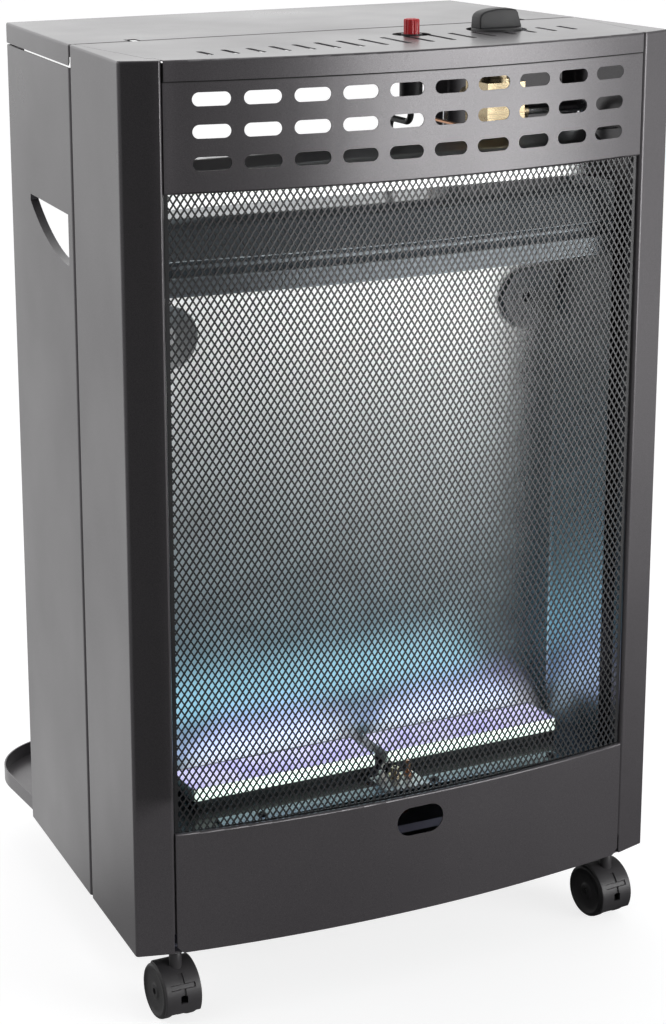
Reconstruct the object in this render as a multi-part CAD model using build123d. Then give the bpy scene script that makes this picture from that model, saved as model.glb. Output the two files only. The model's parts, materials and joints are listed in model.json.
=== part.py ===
"""Propane cabinet heater on four twin-wheel casters, with a bowed front and a bottle bay behind.

Millimetres. While it is being built x is zero on the centre line, y is zero on the front plane of
the columns and grows to the rear, and z is zero at the underside of the cabinet. The export step
moves everything so that the floor is z = 0 and the footprint is centred.
"""
from build123d import *
from math import asin, cos, degrees, pi, sin, sqrt
import os

# ---- cabinet shell ----
cabinet_width = 470.0
cabinet_height = 690.0
column_width = 31.0
column_setback = 9.0
side_inset = 28.0
seam_y = 127.0
wing_rear_y = 304.0
seam_gap = 2.0
sheet = 0.8
plate = 1.2
fold_radius = 3.0
top_fold_radius = 1.6
column_return = 16.0
seam_flange = 14.0
wing_return = 15.0
foot_notch = 16.0
panel_screw_margin = 70.0
panel_screw_inset = 32.0

# ---- top ----
lid_lip = 15.0
lid_rear_gap = 2.5
lid_joint_overlap = 5.0
lid_joint_inset = 3.4
lid_joint_gap = 0.4
vent_pitch = 20.5
vent_offset = 6.0
vent_width = 5.0
vent_fronts = [16.5, 15, 14, 14, 14, 14, 14.5, 15.5, 17, 18.5, 22, 26.5, 31, 35, 38.5, 41.5, 44]
vent_lengths = [24, 28, 29, 33, 35.5, 40, 42.5, 44, 46, 45, 43.5, 40, 35, 30, 28, 29, 28]
knob_x = 115.0
knob_y = 74.0
knob_hole = 48.0
igniter_x = 37.5
igniter_y = 72.0
igniter_hole = 30.0

# ---- bowed front ----
grille_bow = 24.0
grille_height = 94.0
grille_top_gap = 2.0
grille_set_back = 0.95
grille_margin = 13.0
grille_pitch = 37.6
grille_slot_width = 28.4
grille_slot_height = 10.0
grille_first_row = 21.5
grille_row_pitch = 23.1
grille_row_count = 3
guard_bow = 15.0
guard_set_back = 4.0
guard_overlap = 3.0
guard_tuck = 6.0
guard_thickness = 1.0
guard_border = 8.0
diamond_columns = 10
diamond_rows = 8
diamond_strand = 3.2
lower_bow = 17.5
lower_top = 100.0
lower_chamfer = 5.0
lower_hole_width = 42.0
lower_hole_height = 24.0
lower_hole_x = 2.0
lower_hole_z = 78.0
panel_flange = 14.0
panel_lip = 2.8

# ---- wings and flap ----
flap_depth = 16.0
flap_gap = 1.5
flap_axis_back = 6.0
flap_axis_drop = 5.0
flap_hinge_inset = 34.0
flap_return_drop = 4.4
flap_pin = 3.0
flap_pin_clearance = 0.05
handle_from_seam = 14.0
handle_length = 105.0
handle_drop = 112.5
handle_front_height = 40.0
handle_rear_height = 5.0
handle_collar = 7.0
pivot_inset = 22.0
pivot_from_seam = 10.0
pivot_lug_front = 7.0
pivot_lug_rear = 8.0
pivot_pin = 6.0
pivot_head = 10.0
pivot_head_height = 5.0
pivot_drop = 17.5

# ---- base ----
bay_inset = 4.0
bay_depth = 311.0
bay_corner_radius = 70.0
bay_rim_top = 14.0

# ---- firebox ----
bulkhead_below_grille = 26.0
bulkhead_inset = 4.0
bulkhead_return = 8.0
reflector_y = 98.0
reflector_fold_inset = 12.0
reflector_edge_overlap = 1.0
reflector_edge_y = 36.0
dish_inset = 29.0
dish_drop = 101.0
dish_diameter = 50.0
dish_height = 6.0
visor_gap = 2.0
visor_corner = 30.0
visor_bow = 14.0
visor_front_y = 14.0
visor_height = 54.0
visor_skirt = 15.0
visor_groove_depth = 10.0
visor_groove_height = 10.0
visor_brow = 30.0
visor_shoulder = 5.0
hood_overlap = 2.0
hood_front_y = 50.0
hood_gap = 7.0
hood_height = 32.0
hood_flat_front_y = 72.0
hood_depth = 48.0
screw = 4.0
screw_head = 8.0
screw_head_height = 2.2

# ---- burners and gas train ----
tray_drop = 6.0
tray_front_y = 4.0
tray_behind_reflector = 2.0
tray_skirt = 20.0
rail_left_inset = 44.0
rail_right_inset = 54.0
rail_depth = 18.0
rail_thickness = 2.0
rail_left_screw = 36.0
rail_middle_screw = 28.0
rail_right_screw = 7.0
burner_length = 164.5
burner_gap = 9.0
burner_front_y = 44.0
burner_depth = 45.0
burner_height = 19.5
burner_wall = 1.2
plaque_thickness = 6.0
plaque_recess = 1.0
mixer_diameter = 24.0
mixer_wall = 1.0
mixer_bottom = 46.0
manifold_size = 14.0
manifold_bottom = 17.0
manifold_overrun = 26.5
injector_diameter = 9.0
injector_height = 11.0
pilot_x = 4.0
pilot_y = 29.0
pilot_spacing = 12.0

# ---- controls ----
bracket_drop = 18.0
bracket_left_margin = 27.0
bracket_right_margin = 35.0
bracket_half_depth = 22.0
valve_size = 34.0
valve_height = 40.0
valve_bonnet_height = 22.0
valve_bonnet_diameter = 26.0
plug_diameter = 18.0
plug_clearance = 0.05
plug_floor = 5.0
plug_height = 30.0
outlet_height = 15.0
inlet_height = 24.0
spindle_diameter = 8.0
spindle_flat = 2.8
spindle_reach = 25.0
spindle_rise = 9.0
neck_diameter = 16.0
neck_drop = 10.0
nut_across_flats = 22.0
nut_height = 3.8
knob_length = 38.0
knob_depth = 21.0
knob_rise = 16.5
knob_skirt = 40.0
knob_skirt_drop = 6.0
knob_skirt_rise = 2.0
knob_travel = 6.0
igniter_body_diameter = 18.0
igniter_body_height = 32.0
igniter_neck_rise = 0.5
button_diameter = 12.5
button_rise = 12.0
button_length = 30.0
button_clearance = 0.08
button_flutes = 14
igniter_travel = 8.0
supply_pipe = 8.0
pilot_pipe = 4.0
thermocouple_wire = 2.5
ignition_wire = 5.0
inlet_thread = 13.157
inlet_length = 28.0
pipe_run = 32.0
pilot_run = 24.0
ignition_run = 14.0
pipe_bend = 8.0
supply_bend = 12.0
supply_bow = 10.0

# ---- casters ----
caster_drop = 61.0
wheel_diameter = 45.0
wheel_width = 10.0
wheel_spacing = 11.0
axle_diameter = 5.0
axle_clearance = 0.05
kingpin_diameter = 6.0
kingpin_clearance = 0.05
caster_trail = 8.0
fender_gap = 1.0
fender_thickness = 1.6
web_width = 9.0
front_caster_inset = 34.0
front_caster_y = 12.0
rear_caster_inset = 63.0
rear_caster_from_rear = 118.0
front_right_turn = 5.0

# ---- places that follow from the sizes ----
half_width = cabinet_width / 2
half_opening = half_width - column_width
taper = side_inset / (wing_rear_y - column_setback)
seam_front = seam_y - seam_gap / 2
seam_back = seam_y + seam_gap / 2
bulkhead_y = seam_front - sheet
bay_front = seam_back + 1
bay_rear_y = bay_front + bay_depth
grille_top = cabinet_height - grille_top_gap
grille_bottom = grille_top - grille_height
grille_rows = [
    grille_bottom + grille_first_row + number * grille_row_pitch for number in range(grille_row_count)
]
grille_columns = 1 + int((2 * half_opening - 2 * grille_margin - grille_slot_width) / grille_pitch)
guard_bottom = lower_top - guard_overlap
guard_top = grille_bottom + guard_tuck
flap_bottom = cabinet_height - flap_depth
wing_top = flap_bottom - flap_gap
flap_hinge_x = half_opening - flap_hinge_inset
handle_front_y = seam_y + handle_from_seam
handle_rear_y = handle_front_y + handle_length
handle_top = wing_top - handle_drop
pivot_x = half_width - pivot_inset
pivot_y = seam_y + pivot_from_seam
pivot_top_z = wing_top - pivot_drop
bulkhead_top = grille_bottom - bulkhead_below_grille
reflector_fold_x = half_opening - reflector_fold_inset
reflector_edge_x = half_opening + reflector_edge_overlap
dish_x = reflector_fold_x - dish_inset
dish_z = bulkhead_top - dish_drop
tray_top = lower_top - tray_drop
tray_rear_y = reflector_y + tray_behind_reflector
burner_x = burner_gap / 2 + burner_length / 2
burner_y = burner_front_y + burner_depth / 2
manifold_half_length = burner_x + manifold_overrun
bracket_z = cabinet_height - bracket_drop
bracket_left_x = igniter_x - bracket_left_margin
bracket_right_x = knob_x + bracket_right_margin
bracket_front_y = knob_y - bracket_half_depth
bracket_rear_y = knob_y + bracket_half_depth
valve_top = bracket_z - valve_bonnet_height
valve_bottom = valve_top - valve_height
valve_left = knob_x - valve_size / 2
valve_right = knob_x + valve_size / 2
valve_back = knob_y + valve_size / 2
plug_bottom = valve_bottom + plug_floor
plug_top = plug_bottom + plug_height
outlet_z = valve_bottom + outlet_height
inlet_z = valve_bottom + inlet_height
spindle_bottom = valve_bottom + spindle_reach
spindle_top = cabinet_height + spindle_rise
neck_top = cabinet_height - neck_drop
knob_top = cabinet_height + knob_rise
knob_skirt_bottom = cabinet_height - knob_skirt_drop
knob_skirt_top = cabinet_height + knob_skirt_rise
igniter_body_bottom = bracket_z - igniter_body_height
igniter_neck_top = cabinet_height + igniter_neck_rise
button_top = cabinet_height + button_rise
button_bottom = button_top - button_length
front_caster_x = half_width - front_caster_inset
fold_round = min(top_fold_radius, 2 * sheet)
shift_y = -(bay_rear_y - grille_bow) / 2
shift_z = caster_drop


def side_x(y):
    """Half width over the outside of the cabinet at depth y."""
    return half_width - taper * (y - column_setback)


lid_joint_front_x = half_opening + lid_joint_overlap
lid_joint_rear_x = side_x(seam_front) - lid_joint_inset
bulkhead_half_width = side_x(seam_front) - bulkhead_inset
bay_half_width = side_x(wing_rear_y) - bay_inset
rear_caster_x = bay_half_width - rear_caster_inset
rear_caster_y = bay_rear_y - rear_caster_from_rear


def inner_side_x(y):
    """Half width inside the side sheets at depth y."""
    return side_x(y) - sheet * sqrt(1 + taper * taper)


def column_inner_y(x):
    """Depth of the inner face of the column front at x."""
    slope = column_setback / (half_width - half_opening)
    return (x - half_opening) * slope + sheet * sqrt(1 + slope * slope)


def box(x0, x1, y0, y1, z0, z1):
    return Pos((x0 + x1) / 2, (y0 + y1) / 2, (z0 + z1) / 2) * Box(x1 - x0, y1 - y0, z1 - z0)


def rod(x, y, z0, z1, diameter):
    return Pos(x, y, (z0 + z1) / 2) * Cylinder(diameter / 2, z1 - z0)


def rod_y(x, z, y0, y1, diameter):
    return Pos(x, (y0 + y1) / 2, z) * Rot(90, 0, 0) * Cylinder(diameter / 2, y1 - y0)


def rod_x(y, z, x0, x1, diameter):
    return Pos((x0 + x1) / 2, y, z) * Rot(0, 90, 0) * Cylinder(diameter / 2, x1 - x0)


def prism(points, z0, z1):
    """Straight-sided plan outline raised from z0 to z1."""
    outline = make_face(Polyline(*points, close=True))
    return Pos(0, 0, z0) * extrude(outline, amount=z1 - z0, dir=(0, 0, 1))


def folded_sheet(points, side, z0, z1):
    """Sheet folded along a plan path, thickened to one side of it and raised from z0 to z1."""
    path = FilletPolyline(*points, radius=fold_radius)
    outline = make_face(offset(path, amount=sheet, side=side, closed=True))
    return Pos(0, 0, z0) * extrude(outline, amount=z1 - z0, dir=(0, 0, 1))


def rolled_profile(points, half_length, radius):
    """Sheet folded along a path of (y, z) points and run along x on both sides of the centre."""
    path = FilletPolyline(*points, radius=radius)
    outline = make_face(offset(path, amount=sheet, side=Side.RIGHT, closed=True))
    return extrude(Plane.YZ * outline, amount=half_length, both=True)


def bowed_profile(points, bow, half_length, radius):
    """Sheet folded along a path of (y, z) points and carried round the arc of a bowed front."""
    path = FilletPolyline(*points, radius=radius)
    outline = make_face(offset(path, amount=sheet, side=Side.RIGHT, closed=True))
    bow_radius = (half_length * half_length + bow * bow) / (2 * bow)
    centre_y = points[0][0] + bow_radius
    turn = degrees(asin(half_length / bow_radius)) + 3
    band = revolve(
        Plane.YZ * outline, axis=Axis((0, centre_y, 0), (0, 0, 1)), revolution_arc=2 * turn
    )
    return Pos(0, centre_y) * Rot(0, 0, -turn) * Pos(0, -centre_y) * band


def bowed_sheet(bow, set_back, thickness, half_length, z0, z1):
    """Cylindrical sheet whose ends lie at y = set_back and whose middle stands bow in front."""
    radius = (half_length * half_length + bow * bow) / (2 * bow)
    centre = Pos(0, set_back - bow + radius)
    ring = centre * Circle(radius) - centre * Circle(radius - thickness)
    band = ring & Pos(0, set_back - bow) * Rectangle(2 * half_length, 4 * bow)
    return Pos(0, 0, z0) * extrude(band, amount=z1 - z0)


def bowed_block(bow, set_back, half_length, z0, z1, rounded):
    """Solid behind a bowed front, with its front edge rounded at the top (1) or bottom (-1)."""
    radius = (half_length * half_length + bow * bow) / (2 * bow)
    front = Pos(0, set_back - bow + radius) * Circle(radius)
    rear = column_return + 1
    front = front & Pos(0, (rear - bow) / 2 - 1) * Rectangle(2 * half_length, bow + rear + 2)
    block = Pos(0, 0, z0) * extrude(front, amount=z1 - z0)
    edges = block.edges().group_by(Axis.Z)[-1 if rounded > 0 else 0]
    return fillet(edges.sort_by(lambda edge: edge.center().Y)[:1], fold_round)


def obround_y(x, z, width, height):
    """Cutter along y with rounded ends for slots in the bowed panels."""
    return extrude(Plane.XZ * Pos(x, z) * SlotOverall(width, height), amount=60, both=True)


def mirrored(shape):
    return mirror(shape, about=Plane.YZ)


def tube(points, diameter, radius):
    """Round tube along straight runs joined by tangent bends."""
    path = FilletPolyline(*points, radius=radius)
    return sweep(Plane(path @ 0, z_dir=path % 0) * Circle(diameter / 2), path=path)


def hex_nut(x, y, z0, across_flats, height, bore):
    blank = extrude(RegularPolygon(across_flats / 2, 6, major_radius=False), amount=height)
    return Pos(x, y, z0) * blank - rod(x, y, z0, z0 + height, bore)


def coil(x, y, z0, z1, diameter, wire, turns):
    """Round-wire compression spring."""
    rise = z1 - z0 - wire
    path = Helix(pitch=rise / turns, height=rise, radius=(diameter - wire) / 2)
    spring = sweep(Plane(path @ 0, z_dir=path % 0) * Circle(wire / 2), path=path)
    return Pos(x, y, z0 + wire / 2) * spring


nodes = {}

# ---- side panels with their front columns ----
panel_screw_z = [
    panel_screw_margin,
    (panel_screw_margin + bulkhead_top - panel_screw_inset) / 2,
    bulkhead_top - panel_screw_inset,
]
panel_screw_x = side_x(seam_front) - seam_flange / 2
side_panel = folded_sheet(
    [
        (half_opening, column_return),
        (half_opening, 0),
        (half_width, column_setback),
        (side_x(seam_front), seam_front),
        (side_x(seam_front) - seam_flange, seam_front),
    ],
    Side.LEFT,
    0,
    cabinet_height,
)
side_panel += prism(
    [
        (half_opening + fold_radius, 2 * sheet),
        (half_width - fold_radius, column_setback + sheet),
        (half_width - sheet - taper * fold_radius, column_setback + fold_radius),
        (inner_side_x(seam_front - sheet) + sheet / 2, seam_front - sheet / 2),
        (lid_joint_rear_x, seam_front - sheet / 2),
        (lid_joint_front_x, column_return),
        (half_opening + sheet / 2, column_return),
        (half_opening + sheet / 2, fold_radius),
    ],
    cabinet_height - sheet,
    cabinet_height,
)
side_block = make_face(
    Polyline(
        (half_opening, 0),
        (half_width, column_setback),
        (side_x(seam_front), seam_front),
        (half_opening, seam_front),
        close=True,
    )
)
side_block = fillet(
    side_block.vertices().filter_by_position(Axis.X, half_width - 0.01, half_width + 0.01),
    fold_radius,
)
side_block = extrude(side_block, amount=cabinet_height)
side_block = fillet(
    [
        edge
        for edge in side_block.edges().group_by(Axis.Z)[-1]
        if edge.center().X > half_opening + 1 and edge.center().Y < seam_front - 1
    ],
    fold_round,
)
side_panel = side_panel & side_block
side_panel -= box(half_opening - 5, half_opening + 2, 1, column_return + 5, -1, foot_notch)
side_panel -= box(panel_screw_x - 15, side_x(seam_y) - 4, seam_front - 2, seam_back, -1, foot_notch)
side_panel += box(
    pivot_x - pivot_lug_front,
    pivot_x + pivot_lug_front - 1,
    seam_front - sheet,
    pivot_y + pivot_lug_rear,
    pivot_top_z,
    pivot_top_z + plate,
)
side_panel -= rod(pivot_x, pivot_y, pivot_top_z - 1, pivot_top_z + 3, pivot_pin)
for z in panel_screw_z:
    side_panel -= rod_y(panel_screw_x, z, seam_front - 3, seam_back, screw)
nodes["right_side_panel"] = side_panel
nodes["left_side_panel"] = mirrored(side_panel)

# ---- top panel ----
lid_rear = seam_y - lid_rear_gap
lid_points = [
    (half_opening - lid_joint_gap, -1),
    (half_opening - lid_joint_gap, column_return + 1),
    (lid_joint_front_x - lid_joint_gap, column_return + 1),
    (lid_joint_rear_x - lid_joint_gap, lid_rear),
]
lid_outline = prism(
    lid_points + [(-x, y) for x, y in reversed(lid_points)],
    cabinet_height - sheet,
    cabinet_height,
)
lid_half = half_opening - lid_joint_gap
lid_radius = (lid_half * lid_half + grille_bow * grille_bow) / (2 * grille_bow)
lid_front = Pos(0, lid_radius - grille_bow) * Circle(lid_radius)
lid_front = lid_front & Pos(0, -grille_bow / 2) * Rectangle(2 * lid_half, grille_bow + 1)
lid_front = Pos(0, 0, cabinet_height - sheet) * extrude(lid_front, amount=sheet)
top_panel = lid_outline + lid_front
top_panel += bowed_sheet(grille_bow, 0, sheet, lid_half, cabinet_height - lid_lip, cabinet_height)
lid_block = bowed_block(grille_bow, 0, lid_half, cabinet_height - 2 * lid_lip, cabinet_height, 1)
lid_block += box(
    -half_width,
    half_width,
    column_return,
    seam_y,
    cabinet_height - 2 * lid_lip,
    cabinet_height,
)
top_panel = top_panel & lid_block
ledge = prism(
    [
        (lid_joint_front_x - 4, column_return + 4),
        (lid_joint_front_x + 5, column_return + 4),
        (lid_joint_rear_x - 1, lid_rear - 1),
        (lid_joint_rear_x - 5, lid_rear - 1),
    ],
    cabinet_height - 2 * sheet,
    cabinet_height - sheet,
)
top_panel += ledge
top_panel += mirrored(ledge)
flap_axis_y = seam_y + flap_axis_back
flap_axis_z = cabinet_height - flap_axis_drop
ear_radius = flap_axis_drop - sheet - 0.2
top_panel += box(
    -lid_joint_rear_x + 6,
    lid_joint_rear_x - 6,
    lid_rear - sheet,
    lid_rear,
    flap_axis_z - 2 * ear_radius,
    cabinet_height,
)
for sign in (-1, 1):
    for edge in (-3.5, 2.0):
        ear_x = sign * flap_hinge_x + edge
        arm = box(
            ear_x,
            ear_x + 1.5,
            lid_rear - sheet,
            flap_axis_y,
            flap_axis_z - ear_radius,
            flap_axis_z + ear_radius,
        )
        arm += rod_x(flap_axis_y, flap_axis_z, ear_x, ear_x + 1.5, 2 * ear_radius)
        arm -= rod_x(flap_axis_y, flap_axis_z, ear_x - 1, ear_x + 3, flap_pin)
        top_panel += arm
middle = (len(vent_lengths) - 1) / 2
vents = Sketch()
for number, length in enumerate(vent_lengths):
    vent_x = vent_offset + (number - middle) * vent_pitch
    vent_y = vent_fronts[number] + length / 2
    vents += Pos(vent_x, vent_y) * SlotOverall(length, vent_width, rotation=90)
top_panel -= Pos(0, 0, cabinet_height - 3) * extrude(vents, amount=6)
top_panel -= rod(knob_x, knob_y, cabinet_height - 3, cabinet_height + 3, knob_hole)
top_panel -= rod(igniter_x, igniter_y, cabinet_height - 3, cabinet_height + 3, igniter_hole)
nodes["top_panel"] = top_panel

# ---- bowed front panels ----
def bowed_panel(bow, set_back, z0, z1, lip_z, flange_z0):
    """Bowed sheet with a fold along one long edge and a flange behind each end."""
    panel = bowed_sheet(bow, set_back, sheet, half_opening, z0, z1)
    panel += bowed_sheet(bow, set_back, panel_lip, half_opening, lip_z, lip_z + sheet)
    for sign in (-1, 1):
        outer = sign * half_opening
        inner = sign * (half_opening - sheet)
        x0, x1 = min(outer, inner), max(outer, inner)
        panel += box(x0, x1, set_back, panel_flange, flange_z0, z1)
    rounded = 1 if lip_z > (z0 + z1) / 2 else -1
    return panel & bowed_block(bow, set_back, half_opening, z0, z1, rounded)


grille = bowed_panel(
    grille_bow, grille_set_back, grille_bottom, grille_top, grille_bottom, grille_bottom
)
slots = Sketch()
for z in grille_rows:
    for number in range(grille_columns):
        x = (number - (grille_columns - 1) / 2) * grille_pitch
        slots += Pos(x, z) * SlotOverall(grille_slot_width, grille_slot_height)
grille -= extrude(Plane.XZ * slots, amount=60, both=True)
nodes["upper_front_grille"] = grille

lower = bowed_panel(lower_bow, 0, 0, lower_top, lower_top - sheet, foot_notch)
lower -= obround_y(lower_hole_x, lower_hole_z, lower_hole_width, lower_hole_height)
for sign in (-1, 1):
    corner = Pos(sign * half_opening, 0, 0) * Rot(0, 45, 0) * Box(
        lower_chamfer * sqrt(2), 80, lower_chamfer * sqrt(2)
    )
    lower -= corner
nodes["lower_front_panel"] = lower

# ---- expanded metal guard ----
guard_half = half_opening - sheet
guard = bowed_sheet(guard_bow, guard_set_back, guard_thickness, guard_half, guard_bottom, guard_top)
mesh_half = guard_half - guard_border
mesh_bottom = guard_bottom + guard_border
mesh_top = guard_top - guard_border
cell_width = 2 * mesh_half / diamond_columns
cell_height = (mesh_top - mesh_bottom) / diamond_rows
diamonds = Sketch()
for column in range(2 * diamond_columns + 1):
    for row in range(2 * diamond_rows + 1):
        if (column + row) % 2:
            continue
        x = column * cell_width / 2 - mesh_half
        z = row * cell_height / 2 + mesh_bottom
        reach_x = (cell_width - diamond_strand) / 2
        reach_z = (cell_height - diamond_strand) / 2
        corners = []
        for corner_x, corner_z in ((-reach_x, 0), (0, -reach_z), (reach_x, 0), (0, reach_z)):
            clipped_x = min(max(x + corner_x, -mesh_half), mesh_half)
            clipped_z = min(max(z + corner_z, mesh_bottom), mesh_top)
            if (clipped_x, clipped_z) not in corners:
                corners.append((clipped_x, clipped_z))
        diamonds += make_face(Polyline(*corners, close=True))
guard -= extrude(Plane.XZ * diamonds, amount=60, both=True)
nodes["front_guard"] = guard

# ---- bulkhead ----
tongue_x = [(-110.0, -60.0), (60.0, 110.0)]
bulkhead = box(
    -bulkhead_half_width, bulkhead_half_width, bulkhead_y - 1, bulkhead_y, plate, bulkhead_top
)
bulkhead += box(
    -bulkhead_half_width,
    bulkhead_half_width,
    bulkhead_y - bulkhead_return,
    bulkhead_y,
    bulkhead_top - 1,
    bulkhead_top,
)
screws = Part()
for sign in (-1, 1):
    for z in panel_screw_z:
        x = sign * panel_screw_x
        bulkhead -= rod_y(x, z, bulkhead_y - 3, bulkhead_y + 1, screw)
        fastener = rod_y(x, z, bulkhead_y - 1, seam_front + 0.8, screw)
        fastener += rod_y(x, z, bulkhead_y - 1 - screw_head_height, bulkhead_y - 1, screw_head)
        screws += fastener
nodes["bulkhead"] = bulkhead
nodes["panel_screws"] = screws

# ---- front base ----
lower_radius = (half_opening * half_opening + lower_bow * lower_bow) / (2 * lower_bow)
lower_centre = Pos(0, lower_radius - lower_bow)
bow_fill = lower_centre * Circle(lower_radius - sheet - 0.3)
bow_fill = bow_fill & Pos(0, -lower_bow / 2 + 3) * Rectangle(2 * half_opening - 20, lower_bow + 6)
front_base = extrude(bow_fill, amount=plate)
foot_x = half_width - 2 * fold_radius
base_points = [
    (half_opening - 12, 4),
    (half_opening - 4, column_inner_y(half_opening) + 0.8),
    (half_opening + 2, column_inner_y(half_opening + 2) + 0.6),
    (foot_x, column_inner_y(foot_x) + 0.4),
    (inner_side_x(column_return + 4), column_return + 4),
    (inner_side_x(seam_front - 6), seam_front - 6),
    (side_x(seam_front) - 5, bulkhead_y),
]
front_base += prism(base_points + [(-x, y) for x, y in reversed(base_points)], 0, plate)
for x0, x1 in tongue_x:
    front_base += box(x0, x1, bulkhead_y - 10, seam_y + 60, 0, plate)
for sign in (-1, 1):
    x0 = min(sign * (pivot_x - pivot_lug_front), sign * (pivot_x + pivot_lug_front - 1))
    x1 = x0 + 2 * pivot_lug_front - 1
    front_base += box(x0, x1, bulkhead_y - 8, pivot_y + pivot_lug_rear, 0, plate)
    front_base -= rod(sign * pivot_x, pivot_y, -1, plate + 1, pivot_pin)
    front_base -= rod(sign * front_caster_x, front_caster_y, -1, plate + 1, kingpin_diameter)
nodes["front_base"] = front_base

# ---- bottle plate ----
bay = Pos(0, (bay_front + bay_rear_y) / 2) * Rectangle(2 * bay_half_width, bay_rear_y - bay_front)
bay = fillet(bay.vertices().group_by(Axis.Y)[-1], bay_corner_radius)
bay_inner = offset(bay, amount=-plate)
rim = extrude(bay, amount=bay_rim_top - plate) - extrude(bay_inner, amount=bay_rim_top - plate)
rim = Pos(0, 0, plate) * rim
rim -= box(-300, 300, bay_front - 5, bay_front + plate + 1, 2 * plate, 2 * bay_rim_top)
cylinder_plate = Pos(0, 0, plate) * extrude(bay, amount=plate) + rim
for sign in (-1, 1):
    hole = rod(sign * rear_caster_x, rear_caster_y, 0, 4 * plate, kingpin_diameter)
    cylinder_plate -= hole
nodes["cylinder_plate"] = cylinder_plate

# ---- wings ----
wing = folded_sheet(
    [
        (side_x(seam_back) - seam_flange, seam_back),
        (side_x(seam_back), seam_back),
        (side_x(wing_rear_y), wing_rear_y),
        (side_x(wing_rear_y) - wing_return, wing_rear_y),
    ],
    Side.LEFT,
    0,
    wing_top,
)
for z0, z1 in ((-1, foot_notch), (pivot_top_z - 15, wing_top + 1)):
    wing -= box(150, side_x(seam_back) - 4, seam_back - 1, seam_back + 2, z0, z1)
wing -= box(150, side_x(wing_rear_y) - 4, wing_rear_y - 2, wing_rear_y + 1, -1, foot_notch)
for z0 in (plate, pivot_top_z + plate):
    wing += prism(
        [
            (pivot_x - pivot_lug_front, seam_back + 1),
            (inner_side_x(seam_back + 2) + sheet / 2, seam_back + 2),
            (inner_side_x(pivot_y + pivot_lug_rear) + sheet / 2, pivot_y + pivot_lug_rear),
            (pivot_x - pivot_lug_front, pivot_y + pivot_lug_rear),
        ],
        z0,
        z0 + plate,
    )
    wing -= rod(pivot_x, pivot_y, z0 - 1, z0 + plate + 1, pivot_pin)


def handle_outline(grow):
    """Hand hole seen from the side, with a straight top and front and a curved lower edge."""
    handle_front_bottom = handle_top - handle_front_height
    handle_rear_bottom = handle_top - handle_rear_height
    middle_y = (handle_front_y + handle_rear_y) / 2 + 6
    middle_z = handle_front_bottom + 0.3 * (handle_rear_bottom - handle_front_bottom)
    curve = ThreePointArc(
        (handle_front_y, handle_front_bottom),
        (middle_y, middle_z),
        (handle_rear_y, handle_rear_bottom),
    )
    rest = Polyline(
        (handle_rear_y, handle_rear_bottom),
        (handle_rear_y - 1, handle_top),
        (handle_front_y, handle_top),
        (handle_front_y, handle_front_bottom),
    )
    outline = make_face(curve + rest)
    return offset(outline, amount=grow) if grow else outline


hole = extrude(Plane.YZ.offset(150) * handle_outline(0), amount=100)
ring = extrude(Plane.YZ.offset(150) * handle_outline(sheet), amount=100) - hole
collar_band = prism(
    [
        (side_x(handle_front_y - 5), handle_front_y - 5),
        (side_x(handle_rear_y + 5), handle_rear_y + 5),
        (side_x(handle_rear_y + 5) - handle_collar, handle_rear_y + 5),
        (side_x(handle_front_y - 5) - handle_collar, handle_front_y - 5),
    ],
    handle_top - handle_front_height - 5,
    handle_top + 5,
)
wing -= hole
wing += ring & collar_band
nodes["right_wing"] = wing
nodes["left_wing"] = mirrored(wing)

pins = Part()
for sign in (-1, 1):
    for z0 in (0, pivot_top_z):
        pin = rod(sign * pivot_x, pivot_y, z0, z0 + 2 * plate, pivot_pin)
        pin += rod(sign * pivot_x, pivot_y, z0 - pivot_head_height, z0, pivot_head)
        pin += rod(sign * pivot_x, pivot_y, z0 + 2 * plate, z0 + 2 * plate + 2, pivot_head)
        pins += pin
nodes["wing_pivot_pins"] = pins

# ---- rear top flap ----
flap = prism(
    [
        (-side_x(seam_back), seam_back),
        (side_x(seam_back), seam_back),
        (side_x(wing_rear_y), wing_rear_y),
        (-side_x(wing_rear_y), wing_rear_y),
    ],
    flap_bottom,
    cabinet_height,
)
flap = fillet(flap.edges().filter_by(Axis.Z), fold_round)
flap = fillet(flap.edges().group_by(Axis.Z)[-1], fold_round)
flap_return_y = seam_back + sheet
flap -= prism(
    [
        (-inner_side_x(flap_return_y), flap_return_y),
        (inner_side_x(flap_return_y), flap_return_y),
        (inner_side_x(wing_rear_y - sheet), wing_rear_y - sheet),
        (-inner_side_x(wing_rear_y - sheet), wing_rear_y - sheet),
    ],
    flap_bottom - 1,
    cabinet_height - sheet,
)
flap -= box(
    -inner_side_x(flap_return_y),
    inner_side_x(flap_return_y),
    seam_back - 1,
    flap_return_y + 1,
    flap_bottom - 1,
    flap_axis_z - flap_return_drop,
)
flap -= Pos(0, seam_back, flap_bottom) * Rot(45, 0, 0) * Box(cabinet_width + 10, 4, 4)
for sign in (-1, 1):
    x = sign * flap_hinge_x
    flap -= box(
        x - 5,
        x + 5,
        seam_back - 1,
        flap_axis_y + flap_axis_drop + 1,
        flap_axis_z - flap_return_drop - 1,
        cabinet_height + 1,
    )
    ear = box(
        x - 0.75,
        x + 0.75,
        flap_axis_y,
        flap_axis_y + 14,
        flap_axis_z - ear_radius,
        cabinet_height - sheet,
    )
    ear -= box(
        x - 1,
        x + 1,
        flap_axis_y - 1,
        flap_axis_y + flap_axis_drop + 1,
        flap_axis_z + ear_radius,
        cabinet_height,
    )
    ear += rod_x(flap_axis_y, flap_axis_z, x - 0.75, x + 0.75, 2 * ear_radius)
    ear -= rod_x(flap_axis_y, flap_axis_z, x - 2, x + 2, flap_pin + 2 * flap_pin_clearance)
    flap += ear
nodes["rear_top_flap"] = flap

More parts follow.
